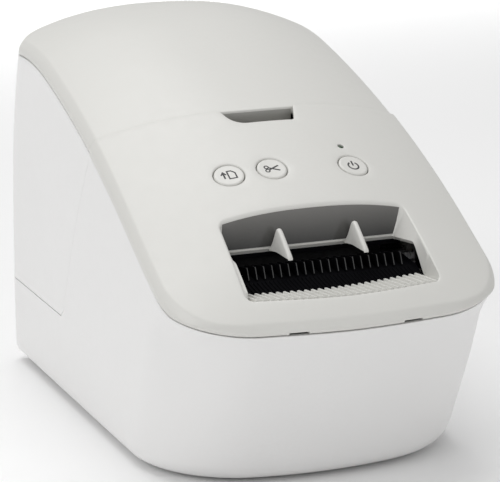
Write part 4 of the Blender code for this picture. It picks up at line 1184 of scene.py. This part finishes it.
FINISHES = {
    DARK: ["bottom_plate", "power_supply"],
    BLACK: ["power_inlet", "roll_bay", *pair("lid_hook"), *(f"{name}_switch" for name in BUTTONS)],
    RUBBER: ["platen_roller", *four("foot")],
    STEEL: ["head_bracket", "head_crossbar", "lid_catch", "usb_socket", *four("case_screw"),
            *pair("side_plate"), *pair("board_screw"), *pair("head_spring")],
    SHAFT: ["platen_shaft", "idler_axle", "head_pivot_pin", "hinge_pin"],
    BLADE: ["fixed_blade", "moving_blade"],
    CAN: ["feed_motor", "cutter_motor"],
    ALUMINIUM: ["heat_sink"],
    CREAM: ["platen_gear", "idler_gear", "motor_pinion", "cutter_pinion", "label_spool",
            *pair("platen_bearing")],
    PCB: ["main_board", "button_board"],
    CERAMIC: ["print_head"],
}


def dress_cad():
    """Materials for the CAD's own pieces."""
    for look, names in FINISHES.items():
        for name in names:
            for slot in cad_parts[name].material_slots:
                slot.material = look.made


# --- Studio ---

FLOOR_HALF = 4.0
OBJECT_MIDDLE = (0.0, 0.0, 0.05)
EYE = (-0.3436, -0.8826, 0.3062)
EYE_RIGHT, EYE_UP = Vector((0.9307, -0.3658, -0.0069)), Vector((0.0955, 0.2248, 0.9697))
LENS_MM, SENSOR_MM = 187.2, 36.0


def make_floor():
    mesh = bpy.data.meshes.new("studio_floor")
    corners = [(FLOOR_HALF * x, FLOOR_HALF * y, 0.0) for x, y in ((-1, -1), (1, -1), (1, 1), (-1, 1))]
    mesh.from_pydata(corners, [], [(0, 1, 2, 3)])
    look = Look("studio_floor", (0.95, 0.95, 0.95), 0.8)
    look.tint(look.noise(3.0), 0.01)
    mesh.materials.append(look.made)
    add_to_scene("studio_floor", mesh)


def add_area(name, place, target, size, power, spread=180.0):
    lamp = bpy.data.lights.new(name, "AREA")
    lamp.shape, lamp.size, lamp.size_y, lamp.energy = "RECTANGLE", size[0], size[1], power
    lamp.spread = math.radians(spread)
    obj = add_to_scene(name, lamp)
    obj.location = place
    obj.rotation_euler = (Vector(target) - Vector(place)).to_track_quat("-Z", "Y").to_euler()


def add_camera():
    camera = bpy.data.cameras.new("camera")
    camera.sensor_width = SENSOR_MM
    camera.lens = LENS_MM
    camera.clip_end = 20.0
    eye = add_to_scene("camera", camera)
    turn = Matrix((EYE_RIGHT, EYE_UP, EYE_RIGHT.cross(EYE_UP))).transposed().to_4x4()
    eye.matrix_world = Matrix.Translation(EYE) @ turn
    bpy.context.scene.camera = eye


def make_studio():
    """A pale floor, an even white world and four soft lamps."""
    make_floor()
    world = bpy.data.worlds.new("studio")
    bpy.context.scene.world = world
    world.use_nodes = True
    set_values(world.node_tree.nodes["Background"], {"Color": (1.0, 1.0, 1.0, 1.0), "Strength": 0.46})
    bpy.context.scene.view_settings.view_transform = "Standard"
    add_area("key", (-1.2, -0.45, 0.7), OBJECT_MIDDLE, (0.8, 0.8), 4.0)
    add_area("fill", (0.5, -1.6, 0.5), OBJECT_MIDDLE, (1.0, 0.8), 2.8)
    add_area("top", (-0.1, 0.35, 1.3), OBJECT_MIDDLE, (1.1, 1.1), 9.2)
    add_area("backdrop", (0.45, 1.35, 1.2), (0.45, 1.36, 0.0), (1.8, 0.7), 5.0, 60.0)
    add_camera()


make_skins()
make_housing()
make_lid_case()
make_tray()
make_fin("fin_left", -FIN_X)
make_fin("fin_right", FIN_X)
make_back_strip()
make_guide()
make_grip_cup()
make_pull()
make_buttons()
make_roll()
dress_cad()
make_studio()
